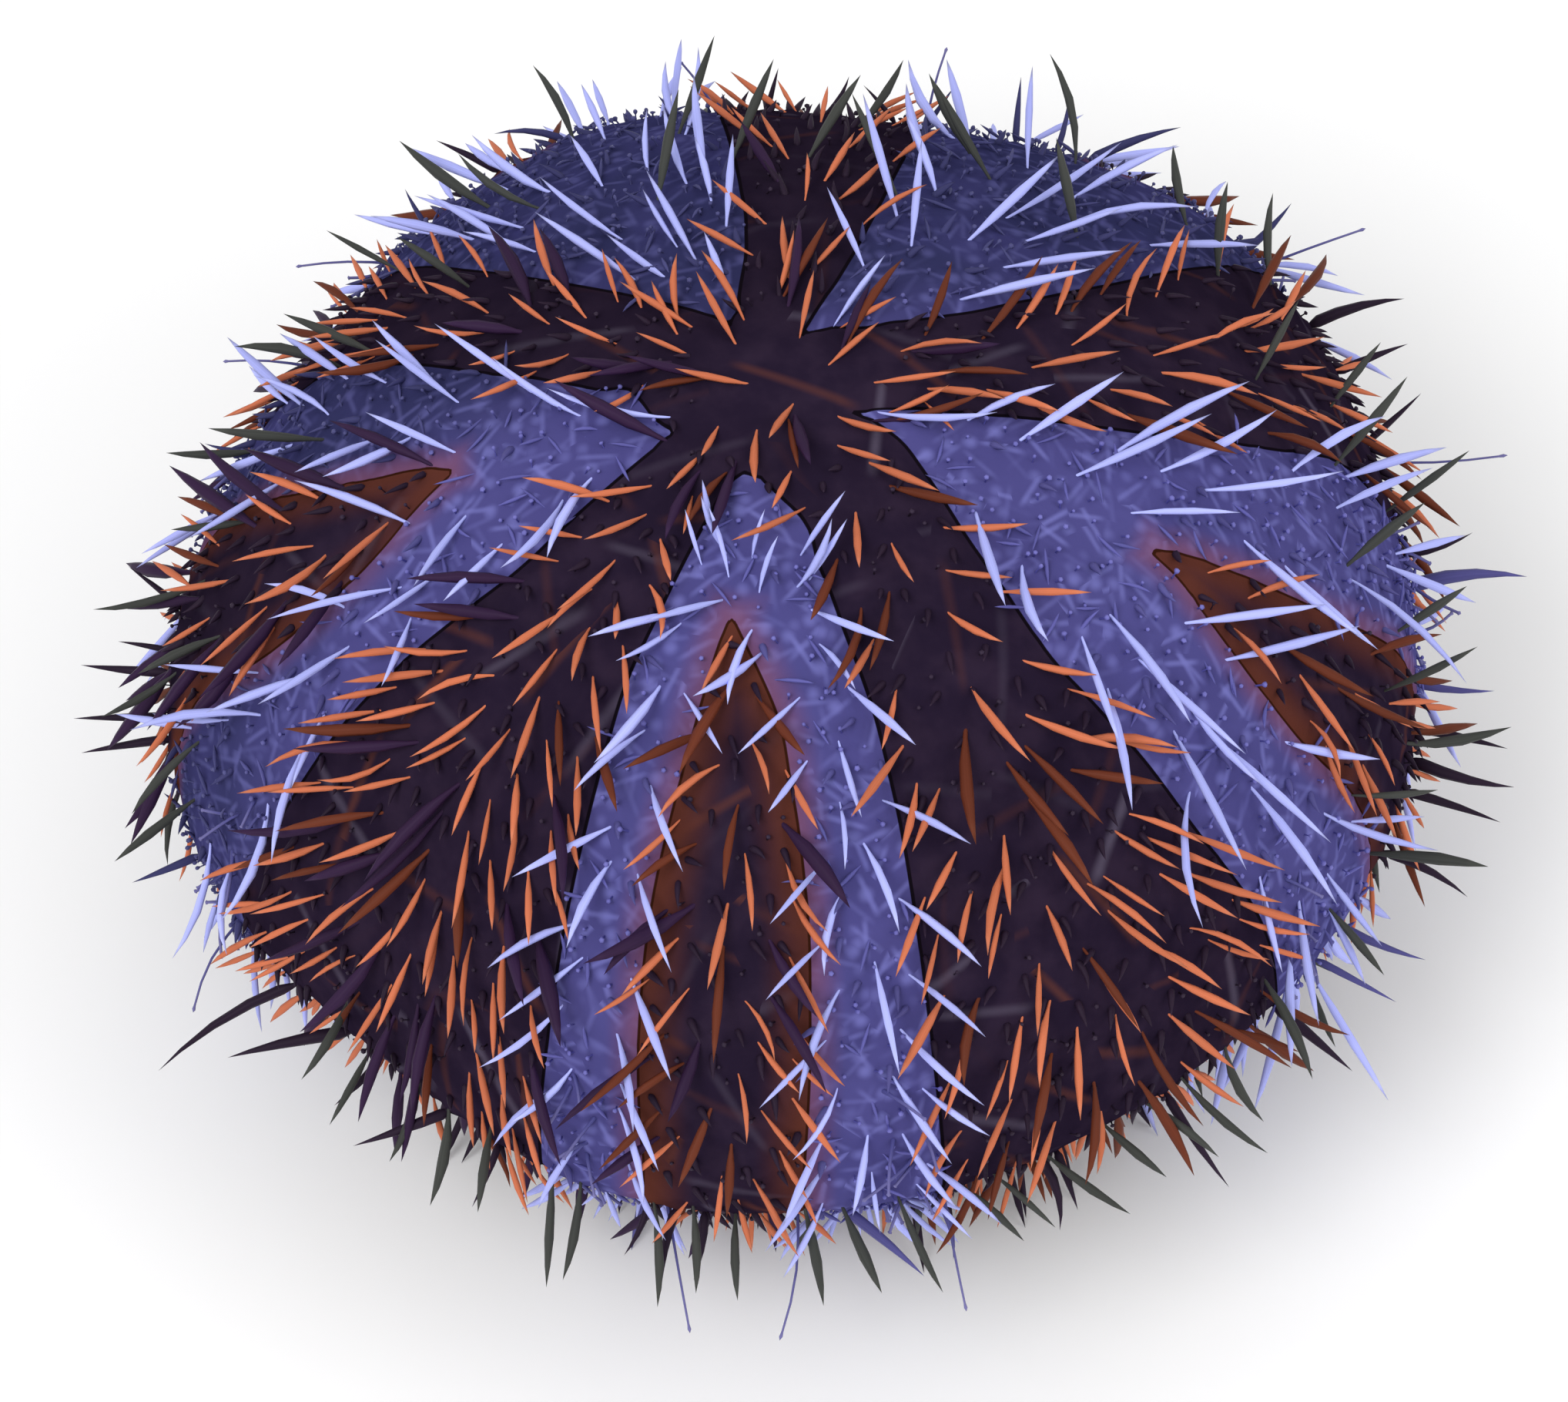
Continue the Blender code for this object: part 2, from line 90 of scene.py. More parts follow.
# Blue bands, from the tip down: polar angle, and the azimuths of both edges
BLUE_BANDS = {
    "front": (
        (10.4, -27, -18), (12, -30.4, -7), (13, -30.4, -2), (19, -29.7, 6), (26, -28.9, 9.9),
        (32, -28.6, 11.9), (40, -27.1, 12.7), (57, -24.9, 12.9), (68, -24, 12.9), (90, -23.4, 13.3),
    ),
    "right": (
        (5.8, 59, 60), (7, 59.5, 67.7), (10, 58.6, 77.5), (14, 52.2, 81.5), (20, 46, 85.5),
        (27, 43.4, 88.2), (35, 42.4, 91), (41, 43.7, 93.4), (49, 45.4, 96.3), (59, 46.9, 100.1),
        (75, 50, 101), (90, 51, 101),
    ),
    "back_right": (
        (5.8, 176, 178), (7, 160, 173.5), (8, 148.5, 171.5), (12, 132.2, 166), (17, 124.8, 163.6),
        (24, 122.6, 163.2), (34, 122.8, 163.8), (47, 125.1, 165), (60, 127, 166.5), (90, 128, 167),
    ),
    "back_left": (
        (9.5, 219, 222), (10.5, 210.5, 220.5), (12, 206, 222.5), (16, 197.5, 227.5), (22, 192.4, 231.6),
        (29, 190.6, 233.7), (38, 189.6, 234), (53, 188.8, 231.5), (90, 188, 229),
    ),
    "left": (
        (12, 291, 294), (13, 282.8, 295), (14, 273, 296), (18, 266.2, 299), (23, 261.4, 301.2),
        (30, 257.7, 303), (36, 254.6, 302.4), (44, 251.7, 301.1), (51, 249.5, 300.3), (70, 248, 299.3),
        (90, 248, 296.7),
    ),
}
# Dark wedges inside the blue bands, from the tip down, in the same way
WEDGES = {
    "front": (
        (24.5, -14.5, -13.5), (27, -15.2, -9.6), (32, -15.6, -4), (40, -15.9, -0.8), (50, -16.1, 0.9),
        (65, -15.2, 1.2), (84, -13.6, 0.6),
    ),
    "right": (
        (36, 68.3, 69.3), (39, 67.7, 71.5), (44, 65.8, 73.7), (51, 64.4, 76.2), (61, 64.2, 79.7),
        (76, 67.2, 85), (90, 68, 87),
    ),
    "back_right": ((60, 145.5, 146.5), (64, 143, 149), (75, 139, 153), (90, 137, 155), (120, 135, 157)),
    "back_left": ((60, 209.5, 210.5), (64, 207, 213), (75, 203, 217), (90, 201, 219), (120, 199, 221)),
    "left": (
        (32.7, 277.5, 278.5), (36, 275, 281), (41, 273.2, 284.6), (48, 270.5, 286.8), (58, 266.5, 286.3),
        (74, 263, 281.5), (90, 261, 281),
    ),
}

# Spines by polar angle: length, and lean away from the skin's normal
LENGTHS = (
    (0, 6.8 * MM), (14, 8.8 * MM), (30, 10.0 * MM), (55, 10.0 * MM), (80, 8.8 * MM), (110, 8.0 * MM),
    (130, 7.2 * MM), (150, 6.0 * MM), (180, 4.5 * MM),
)
LEANS = (
    (0, 74), (12, 70), (22, 65), (60, 62), (85, 60), (100, 55), (118, 42), (132, 5), (140, -18), (180, -15),
)
# How much they vary: the lean in degrees, the length and width in parts of their own, and the bow to
# one side in lengths, with the most that it may be
LEAN_SPREAD = 6
LENGTH_SPREAD = (0.76, 1.24)
WIDTH_SPREAD = (0.82, 1.18)
BOW = 0.045
MOST_BOW = 0.11
# How far each second row is shifted to a side, in spacings
STAGGER = 0.22
# How far spines fan out to the edges of their field, and the band where they do so less
FAN = 42
FANS = {"back_left": 16}
FAN_SHARPNESS = 2.6
# Between these polar angles the front band's spines lean up and outward round its tip, like a crown
CROWN = (16.3, 22.6)
CROWN_SPACING = 2.7
CROWN_FACTOR = 0.64
CROWN_LEAN = -115
# The spines below that root between these radii stand on the floor
SUPPORT_RADII = (0.0235, 0.0345)
# How far tips may reach from the middle, to the sides and to the front and back
REACHES = (0.0665, 0.0625)
FLOOR_GAP = 0.1 * MM
# Parts of a field's width that its spines keep free along each edge, in the blue bands and elsewhere
BLUE_MARGIN = 0.13
EDGE_MARGIN = 0.04
# Where the dark bands' spines start, next to those round the apex
DARK_TOP = 11
# Share of the places that carry a coloured spine, by how squarely the skin faces the drawing's viewer
COVER = ((-0.15, 0.62), (0.0, 0.52), (0.2, 0.47), (0.4, 0.57), (0.6, 0.79), (0.8, 1.0), (1.0, 1.0))
# Skin that faces away by more than this is on the drawing's hidden side, planted evenly
HIDDEN_FACING = -0.15
HIDDEN_SPACING = 4.0
HIDDEN_GREY = 0.1

# What grows in each field: spacing in mm, length factor, and the share of each kind
DARK_FIELDS = {
    "front_right": (4.3, 0.90, {"orange": 0.75, "brown": 0.25}),
    "right": (4.0, 0.82, {"orange": 0.85, "brown": 0.15}),
    "back": (3.7, 0.74, {"orange": 0.82, "brown": 0.08, "purple": 0.10}),
    "left": (3.4, 0.70, {"orange": 0.72, "brown": 0.12, "purple": 0.16}),
    "front_left": (3.5, 0.82, {"orange": 0.72, "brown": 0.12, "purple": 0.16}),
}
WEDGE_FIELDS = {
    "front": (3.6, 0.78, {"orange": 0.60, "brown": 0.18, "purple": 0.22}),
    "right": (4.1, 0.80, {"orange": 0.72, "brown": 0.28}),
    "back_right": (4.6, 0.85, {"orange": 0.70, "brown": 0.30}),
    "back_left": (4.6, 0.85, {"orange": 0.70, "brown": 0.30}),
    "left": (3.6, 0.80, {"orange": 0.50, "brown": 0.14, "purple": 0.36}),
}
BLUE_FIELDS = {
    "front": (4.2, 0.87, {"lilac": 1.0}),
    "right": (5.9, 1.18, {"lilac": 1.0}),
    "back_right": (5.2, 1.12, {"lilac": 1.0}),
    "back_left": (4.7, 0.95, {"lilac": 1.0}),
    "left": (5.4, 1.02, {"lilac": 1.0}),
}
# Long spines of the body's own colour on the drawing's outline: where, in degrees clockwise from the
# top of the drawing, the length in mm, and the way each points, on the same clock
LONG_SPINES = (
    (10, 4.5, 320), (13, 4.5, 35), (22, 6, 5), (26, 5.5, 13), (29, 9, 70), (46, 6, 44), (55, 9, 74),
    (60, 7, 68), (67, 6.5, 48), (78, 6.5, 72), (81, 10.5, 85), (90, 7, 95), (94, 8.5, 103), (97, 9.5, 105),
    (100, 9, 108), (106, 8.5, 118), (114, 8, 112), (118, 8, 118), (124, 9, 130), (138, 10, 146),
    (151, 5.5, 160), (153, 6.5, 164), (165, 6, 164), (175, 9, 130), (190, 6, 189), (193, 6.5, 191),
    (196, 5, 205), (213, 6, 203), (219, 9, 250), (228, 6, 225), (232, 11, 258), (239, 16, 238),
    (254, 6.5, 248), (265, 8, 261), (267, 8.5, 269), (271, 8, 275), (273, 5, 280), (277, 6, 308),
    (293, 4, 280), (321, 4, 330), (330, 6.5, 296), (337, 6.5, 275), (357, 4, 15), (3, 4, 30),
)
# Stretched tube feet past the outline, in the same way
STRETCHED_FEET = (
    (13, 7.5, 15), (48, 10, 70), (69, 14, 87), (164, 10.5, 169), (180, 11, 188), (194, 11, 170),
    (207, 6.5, 181), (247, 9, 207), (303, 7.5, 273), (316, 8.5, 268), (352, 5.5, 324),
)
LONG_LILAC = (119, 13.5, 149)
# Grey-green spines stand in a loose ring just inside the outline, bare over one stretch of the clock
GREY_COUNT = 64
GREY_FACINGS = (0.44, 0.26, 0.52, 0.35)
GREY_DEPTH = 0.5
GREY_LENGTH_MM = 8.2
GREY_BARE = (239, 253)
# How far each slants from straight out, by its place on the clock
GREY_SLANTS = (
    (0, 32), (8, 32), (10, -28), (20, -45), (45, -48), (60, -30), (90, -22), (108, -6), (114, 30),
    (128, 36), (136, -6), (150, -28), (190, -12), (235, -27), (270, -36), (290, -20), (336, -22),
    (342, 28), (360, 32),
)

# Spines round the apex, of each kind a spiral out to a polar angle, turned by the golden angle at each
APEX_COUNTS = {"orange": 21, "brown": 6, "purple": 8}
APEX_POLAR = 11.5
APEX_FACTOR = 0.95
GOLDEN_ANGLE = 137.5
# Low growth over the whole skin: where it starts, its spacing in mm, and its length beside the spines,
# upright and lying; most of it on the blue bands lies flat and is pale
LOW_TOP = 8
LOW_SPACING = 3.6
LOW_FACTOR = 0.24
LYING_FACTOR = 0.30
LYING_SHARE = 0.75

# Each kind of spine: width in mm at the usual length, how far along it is widest, and its length beside
# the others
USUAL_LENGTH = 9 * MM
SPINE_SHAPES = {
    "orange": (0.77, 0.50, 0.87), "lilac": (0.74, 0.50, 1.0), "brown": (0.90, 0.50, 1.12),
    "purple": (1.12, 0.48, 1.22), "grey": (0.88, 0.52, 1.06), "dark": (1.00, 0.12, 1.0),
    "indigo": (1.00, 0.12, 1.0), "pale": (0.55, 0.50, 1.0),
}
# The colours of each kind's body, root and tip, its material and slot, and any colour painted on the far
# side as shade
SPINE_COLOURS = {
    "orange": ("#CC7250", "#AC593F", "#D68362", "orange_calcite_spine", "spine_orange"),
    "lilac": ("#B2B8FC", "#9499E2", "#C2C6FF", "lilac_calcite_spine", "spine_lilac"),
    "brown": ("#663120", "#52271A", "#743D29", "brown_calcite_spine", "spine_brown"),
    "purple": ("#311D3B", "#281832", "#382344", "purple_calcite_spine", "spine_purple"),
    "grey": ("#414340", "#373836", "#4A4C48", "grey_green_calcite_spine", "spine_grey"),
    "dark": ("#2A1D2F", "#241929", "#35283A", "near_black_skin_spine", "interambulacral_skin"),
    # The indigo and pale spines' last colour is painted shade for the far side
    "indigo": ("#55528C", "#4C4A86", "#5F5D9C", "indigo_skin_spine", "ambulacral_skin", "#3D3D69"),
    "pale": ("#615FA4", "#57559A", "#6967AC", "pale_indigo_skin_spine", "ambulacral_skin", "#484877"),
}
SHORTEST_SPINE = 1.2 * MM
RIBS = 12

# Pincers: spacing in mm, and how far they keep off the edge between the colours. Those on the blue
# bands and on the dark ones: the share of the places that has one, the colours of stalk and head, any
# colour painted on the far side as shade, and the slot.
PINCER_SPACING = 1.9
PINCER_GAP = 0.3
PINCERS = {
    # The blue pincers' fourth colour is painted shade for the far side
    "blue": (0.6, "#504E98", "#7472BA", "#4D4D7C", "ambulacral_skin"),
    "violet": (0.2, "#251A2A", "#33273A", None, "interambulacral_skin"),
}
# Slack tube feet: their rows down a band, as first, last and step, and how far inside its edges; and the
# radii of slack and stretched ones
TUBE_FOOT_ROWS = (72, 150, 3.6)
TUBE_FOOT_INSET = 4
TUBE_FOOT_RADII = (0.17 * MM, 0.13 * MM)

# Stalks and teeth: places along them, and the parts of their radius there
PINCER_SHAPE = ((-0.15, 0, 0.5, 0.72, 0.9, 1), (0, 0.35, 0.28, 0.95, 0.8, 0))
TUBE_FOOT_SHAPE = (
    (-0.08, 0, 0.2, 0.45, 0.7, 0.93, 0.97, 1),
    (0, 1.3, 1.0, 0.9, 0.85, 0.8, 1.3, 0),
)
TOOTH_SHAPE = ((-0.1, 0, 0.3, 0.6, 0.85, 1), (0, 1.0, 1.0, 0.85, 0.5, 0))
FEEDING_FOOT_SHAPE = ((-0.2, 0, 0.4, 0.75, 0.9, 1), (0, 0.85, 0.6, 0.6, 0.95, 0))
GILL_SHAPE = ((-0.2, 0, 0.4, 0.75, 0.9, 1), (0, 0.7, 1.0, 0.8, 0.9, 0))
LIP_SHAPE = ((-0.2, 0, 0.4, 0.75, 0.9, 1), (0, 0.9, 1.0, 0.9, 0.6, 0))
TOOTH_RADIUS = 0.85 * MM
FEEDING_FOOT_RING = 7.8 * MM
FEEDING_FOOT_LENGTH = 2.6 * MM
FEEDING_FOOT_RADIUS = 0.75 * MM
GILLS = 140
GILL_RADIUS = 0.3 * MM
LIP_PAPILLAE = 40
LIP_RING = 4.0 * MM
LIP_LENGTH = 1.7 * MM
LIP_RADIUS = 0.42 * MM

# How wide a strand's patch is on the bake map
PATCH = 0.003

# Shader nodes by plain names: Blender's kind, the inputs filled in turn, the output, and settings
NODES = {
    "place": ("TexCoord", (), "Object", {}),
    "attribute": ("Attribute", (), "Fac", {}),
    "noise": ("TexNoise", ("Vector", "Scale", "Detail"), "Fac", {}),
    "cells": ("TexVoronoi", ("Vector", "Scale"), "Distance", {"feature": "F1"}),
    "mix": ("Mix", (0, 6, 7), 2, {"data_type": "RGBA"}),
    "tint": ("Mix", (0, 6, 7), 2, {"data_type": "RGBA", "blend_type": "MULTIPLY"}),
    "channels": ("SeparateColor", (0,), 0, {}),
    "grey": ("CombineColor", (0, 1, 2), 0, {}),
    "step": ("MapRange", (0, 1, 2), 0, {"interpolation_type": "SMOOTHSTEP"}),
    "range": ("MapRange", (0, 1, 3, 4), 0, {}),
    "times": ("Math", (0, 1), 0, {"operation": "MULTIPLY"}),
    "larger": ("Math", (0, 1), 0, {"operation": "MAXIMUM"}),
    "absolute": ("Math", (0,), 0, {"operation": "ABSOLUTE"}),
    "sine": ("Math", (0,), 0, {"operation": "SINE"}),
    "plus": ("VectorMath", (0, 1), "Vector", {"operation": "ADD"}),
    "minus": ("VectorMath", (0, 1), "Vector", {"operation": "SUBTRACT"}),
    "cross": ("VectorMath", (0, 1), "Vector", {"operation": "CROSS_PRODUCT"}),
    "dot": ("VectorMath", (0, 1), "Value", {"operation": "DOT_PRODUCT"}),
    "unit": ("VectorMath", (0,), "Vector", {"operation": "NORMALIZE"}),
    "bump": ("Bump", ("Height", "Strength", "Distance"), "Normal", {}),
}

# The drawing looks down on the animal from the front
VIEW_ELEVATION = 53
VIEW_DISTANCE = 0.8
FOCAL_PIXELS = 11808
IMAGE_WIDTH = 2036
AIM_RIGHT = -1.15 * MM
AIM_UP = -1.5 * MM


def interpolated(table, x):
    """Values at x on the straight lines between a table's points."""
    return np.interp(x, *np.array(table, float).T)


def smooth_through(knots, values, x):
    """A cubic Hermite curve through the knots, with each slope the mean of its neighbours' slopes."""
    slopes = np.gradient(values, knots)
    x = np.clip(x, knots[0], knots[-1])
    i = np.clip(np.searchsorted(knots, x, side="right") - 1, 0, len(knots) - 2)
    span = knots[i + 1] - knots[i]
    s = (x - knots[i]) / span
    return (
        values[i] * (1 + 2 * s) * (1 - s) ** 2
        + slopes[i] * span * s * (1 - s) ** 2
        + values[i + 1] * s**2 * (3 - 2 * s)
        + slopes[i + 1] * span * s**2 * (s - 1)
    )


def eased(x, first, last):
    """0 up to the first number and 1 from the last on, with a smooth step between: 3t^2 - 2t^3."""
    t = np.clip((x - first) / (last - first), 0, 1)
    return t**2 * (3 - 2 * t)


def profile(polar):
    """Radius and height of the skin: an ellipse above, a squarer one below with the mouth's hollow."""
    angle = np.radians(np.clip(polar, 0, 180))
    power = 2 / ORAL_SQUARENESS
    sine = np.clip(np.sin(angle), 0, 1)
    cosine = np.cos(angle)
    upper = np.asarray(polar) <= 90
    radius = BODY_RADIUS * np.where(upper, sine, sine**power)
    height = AMBITUS_Z + np.where(upper, CROWN_RISE * cosine, -ORAL_DROP * np.abs(cosine) ** power)
    hollow = np.clip(1 - radius / HOLLOW_RADIUS, 0, 1) ** 2 * (1 + 2 * radius / HOLLOW_RADIUS)
    return radius, height + np.where(upper, 0, HOLLOW_DEPTH * hollow)


# The skin's length down from the apex to each of many polar angles
ARC_POLAR = np.linspace(0, 180, 1441)
ARC_LENGTH = np.concatenate([[0], np.cumsum(np.hypot(*np.diff(profile(ARC_POLAR))))])


def arc_at(polar):
    """The skin's length from the apex down to a polar angle."""
    return np.interp(polar, ARC_POLAR, ARC_LENGTH)


def polar_at_arc(length):
    """The polar angle at a length down the skin from the apex."""
    return np.interp(length, ARC_LENGTH, ARC_POLAR)


def polar_at_radius_below(radius):
    """The polar angle on the underside where the skin has a radius."""
    polar = np.linspace(180, 90, 721)
    return float(np.interp(radius, profile(polar)[0], polar))


# The last spines stand just outside the mouth
SKIN_END = polar_at_radius_below(PERISTOME_RADIUS + 2.5 * MM)


def round_the_body(table, azimuth):
    """A table's millimetres at an azimuth, on a smooth curve that closes on itself."""
    places, values = np.array(table, float).T
    rounds = np.concatenate([places - 360, places, places + 360])
    return smooth_through(rounds, np.tile(values, 3), np.mod(azimuth, 360))


def shaped_profile(polar, azimuth):
    """Radius and height of the skin at an azimuth: the round profile, with the flank's swelling and the
    underside's tuck added to its radius."""
    radius, height = profile(polar)
    swelling = round_the_body(FLANKS, azimuth) * eased(radius, *FLANK_RADII)
    tucked = eased(height, *TUCK_STARTS) * eased(height, *TUCK_ENDS) * (polar > 90)
    return radius + (swelling + round_the_body(TUCKS, azimuth) * tucked) * MM, height


def level_ways(azimuth):
    """Level unit vectors at an azimuth: out from the axis, and round it."""
    angle = np.radians(azimuth)
    sine, cosine, flat = np.sin(angle), np.cos(angle), np.zeros_like(angle)
    return np.stack([sine, -cosine, flat], -1), np.stack([cosine, sine, flat], -1)


def skin_frame(polar, azimuth):
    """Points of the skin with their normals, their ways down from the apex and their ways round. The way
    down is the slope over one degree, and the normal is square to it and to the slope round the body."""
    polar = np.asarray(polar, float)
    radius, height = shaped_profile(polar, azimuth)
    r0, z0 = shaped_profile(np.maximum(polar - 0.5, 0), azimuth)
    r1, z1 = shaped_profile(np.minimum(polar + 0.5, 180), azimuth)
    length = np.hypot(r1 - r0, z1 - z0)
    out, around = level_ways(azimuth)
    up = np.array([0, 0, 1.0])
    point = out * radius[..., None] + up * height[..., None]
    down = out * ((r1 - r0) / length)[..., None] + up * ((z1 - z0) / length)[..., None]
    growth = shaped_profile(polar, azimuth + 1)[0] - shaped_profile(polar, azimuth - 1)[0]
    slope = growth / np.radians(2) / np.maximum(radius, MM)
    normal = np.cross(down, around + out * slope[..., None])
    normal /= np.linalg.norm(normal, axis=-1, keepdims=True)
    return point, normal, down, np.cross(normal, down)


def unwrap(polar, azimuth):
    """Place on the skin's own unwrap: once round along U, and down from the apex along V."""
    return np.stack([np.mod(azimuth + 180, 360) / 360, 1 - arc_at(polar) / ARC_LENGTH[-1]], -1)


def edges_at(rows, polar):
    """Azimuths of a band's two edges at a polar angle."""
    knots, first, last = np.array(rows, float).T
    return smooth_through(knots, first, polar), smooth_through(knots, last, polar)


def inside_mm(rows, polar, azimuth):
    """Millimetres inside a band with two edges and a tip, measured square to the edges; negative
    outside."""
    first, last = edges_at(rows, polar)
    step = 0.25
    behind = edges_at(rows, polar - step)
    ahead = edges_at(rows, polar + step)
    radius = profile(polar)[0]
    run = np.maximum(arc_at(polar + step) - arc_at(polar - step), 1e-9)
    middle = (first + last) / 2
    turn = np.mod(azimuth - middle + 180, 360) - 180
    inside = arc_at(polar) - arc_at(rows[0][0])
    for edge, side, i in ((first, 1, 0), (last, -1, 1)):
        slope = radius * np.radians(ahead[i] - behind[i]) / run
        gap = side * (turn - (edge - middle)) * np.radians(1) * radius
        inside = np.minimum(inside, gap / np.hypot(1, slope))
    return inside / MM


def depths_mm(polar, azimuth):
    """Millimetres inside the nearest blue band and inside the nearest wedge, negative outside them."""
    return [
        np.max([inside_mm(rows, polar, azimuth) for rows in bands.values()], axis=0)
        for bands in (BLUE_BANDS, WEDGES)
    ]


def blue_depth_mm(places):
    """Millimetres inside the blue skin, between a band's edge and its wedge, at planted places."""
    blue, wedge = depths_mm(*places.T[:2])
    return np.minimum(blue, -wedge)


def linear(hex_colour):
    """An sRGB hex colour as linear RGBA."""
    channels = [int(hex_colour[i : i + 2], 16) / 255 for i in (1, 3, 5)]
    return tuple(c / 12.92 if c <= 0.04045 else ((c + 0.055) / 1.055) ** 2.4 for c in channels) + (1.0,)


def node(tree, name, *values, **settings):
    """Adds a shader node by its plain name and returns its output. Its inputs are filled in turn, with
    numbers or hex colours, or linked to other outputs."""
    kind, inputs, output, presets = NODES[name]
    made = tree.nodes.new("ShaderNode" + kind)
    for key, value in {**presets, **settings}.items():
        setattr(made, key, value)
    for key, value in zip(inputs, values):
        if isinstance(value, bpy.types.NodeSocket):
            tree.links.new(value, made.inputs[key])
        else:
            made.inputs[key].default_value = linear(value) if isinstance(value, str) else value
    return made.outputs[output]


def new_material(name, roughness, specular):
    """A material with its gloss set, and the function that adds nodes to it."""
    material = bpy.data.materials.new(name)
    material.use_nodes = True
    sockets = material.node_tree.nodes["Principled BSDF"].inputs
    sockets["Roughness"].default_value = roughness
    sockets["Specular IOR Level"].default_value = specular
    return material, partial(node, material.node_tree)


def painted(material, colour, bump=None):
    """The material with its colour linked to the shader, and any bump."""
    tree = material.node_tree
    sockets = tree.nodes["Principled BSDF"].inputs
    tree.links.new(colour, sockets["Base Color"])
    if bump is not None:
        tree.links.new(bump, sockets["Normal"])
    return material


def layered(add, colour, *layers):
    """A colour with others laid over it in turn, each by its mask: under * (1 - mask) + over * mask."""
    for mask, over in layers:
        colour = add("mix", mask, colour, over)
    return colour


def soft_strokes(add, place, normal, cell, half_width, length, seed):
    """A scatter of soft straight strokes, 0 to 1: one in each cell of a Voronoi pattern, at a random
    way along the skin through the cell's middle."""
    moved = add("plus", place, (seed, 0.37 * seed, -seed))
    cells = add("cells", moved, 1 / cell).node.outputs
    offset = add("minus", moved, cells["Position"])
    chance = add("minus", cells["Color"], (0.5, 0.5, 0.5))
    across = add("unit", add("cross", normal, chance))
    side = add("absolute", add("dot", offset, across))
    run = add("absolute", add("dot", offset, add("cross", normal, across)))
    narrow = add("step", side, half_width, 0.0)
    short = add("step", run, length / 2, length / 2 - 3 * half_width)
    strength = add("channels", cells["Color"]).node.outputs[2]
    return add("times", add("times", narrow, short), strength)


def painted_far_shade(add, place):
    """Painted shade: 1 on the back and the far left of the body, which are painted darker as if in shade,
    and 0 on the front.
    """
    behind = add("step", add("dot", place, (-0.25, 1, 0)), 0, 14 * MM)
    left = add("step", add("dot", place, (-1, 0, 0)), 38 * MM, 52 * MM)
    return add("larger", behind, left)


def urchin_skin_material():
    """Soft dull living skin over a calcite test: slate blue bands with pale specks and strokes,
    near-black violet between them, rust-brown wedge rims, and a dark line where the colours meet. The
    back and far left are painted darker, as shade."""
    material, add = new_material("living_urchin_skin", 0.8, 0.0)
    place = add("place")
    normal = add("attribute", attribute_name="skin_normal").node.outputs["Vector"]
    blue, wedge, mouth = (add("attribute", attribute_name=f"{key}_mm") for key in ("blue", "wedge", "mouth"))
    clouds = add("noise", place, 260.0, 3.0)
    patches = add("noise", place, 90.0, 2.0)
    dots = add("cells", place, 520.0)
    chance = add("channels", dots.node.outputs["Color"])
    # Painted shade: the back and far left of the skin are painted darker
    back = painted_far_shade(add, place)
    grey_strokes = soft_strokes(add, place, normal, 13 * MM, 0.75 * MM, 13 * MM, 0.0)
    red_strokes = soft_strokes(add, place, normal, 12 * MM, 0.75 * MM, 13 * MM, 0.7)
    dark = layered(
        add, "#231A2C", (add("step", clouds, 0.35, 0.7), "#2D2234"),
        (add("times", grey_strokes, 0.9), "#50485A"), (add("times", red_strokes, 0.9), "#52302F"),
        # painted shade on the dark skin's back and far left
        (add("times", back, 0.5), "#1C1421"),
    )
    # the pale specks are painted darker on the back and far left, as shade
    speck = add("mix", back, "#7373B6", "#545488")
    round_dot = add("times", add("step", dots, 0.5, 0.05), add("step", chance, 0.2, 0.5))
    pale = [soft_strokes(add, place, normal, 4 * MM, 0.42 * MM, 4.6 * MM, seed) for seed in (0, 0.5, 1.1)]
    glow = add("times", add("step", wedge, -3.2, 0.4), add("step", patches, 0.0, 0.5))
    ground = layered(
        # painted shade: the blue ground is darker on the back and far left
        add, add("mix", back, "#4D4A83", "#303157"),
        (add("times", add("step", patches, 0.4, 0.7), 0.5), "#434076"),
        *((add("times", mark, 0.7), speck) for mark in (round_dot, *pale)),
        (add("times", glow, 0.75), "#7B4C62"),
    )
    rim = add("times", add("step", wedge, 4.6, 0.2), add("step", patches, 0.05, 0.55))
    colour = layered(
        add, dark, (add("step", blue, -0.04, 0.04), ground),
        (add("step", wedge, -0.04, 0.04), add("mix", rim, dark, "#582F26")),
        (add("step", add("absolute", blue), 0.2, 0.12), "#120D14"),
        (add("step", add("absolute", wedge), 0.16, 0.08), "#33190F"),
        (add("step", mouth, -0.3, 0.5), add("mix", clouds, "#5D3D45", "#93686B")),
    )
    grain = add("noise", place, 1500.0, 2.0)
    return painted(material, colour, add("bump", grain, 0.35, 0.15 * MM))


def spine_material(name, body, root, tip, painted_shade_colour=None):
    """Calcite spine under a thin dull skin: darker at the root, ribbed along its length, each a little
    lighter or darker than the next. Small growth is painted darker on the far side, as shade."""
    material, add = new_material(name, 0.55, 0.1)
    along, tint, around = (add("attribute", attribute_name=key) for key in ("along", "tint", "around"))
    ends = ((add("step", along, 0.22, 0.02), root), (add("step", along, 0.8, 1.0), tip))
    colour = layered(add, body, *ends)
    # Painted shade: darker on the far side
    if painted_shade_colour:
        colour = add("mix", painted_far_shade(add, add("place")), colour, painted_shade_colour)
    ribs = add("sine", add("times", around, math.tau * RIBS))
    level = add("times", add("range", tint, 0, 0.86, 1.08), add("range", ribs, -1, 0.94, 1.02))
    return painted(material, add("tint", 1.0, colour, add("grey", level, level, level)))


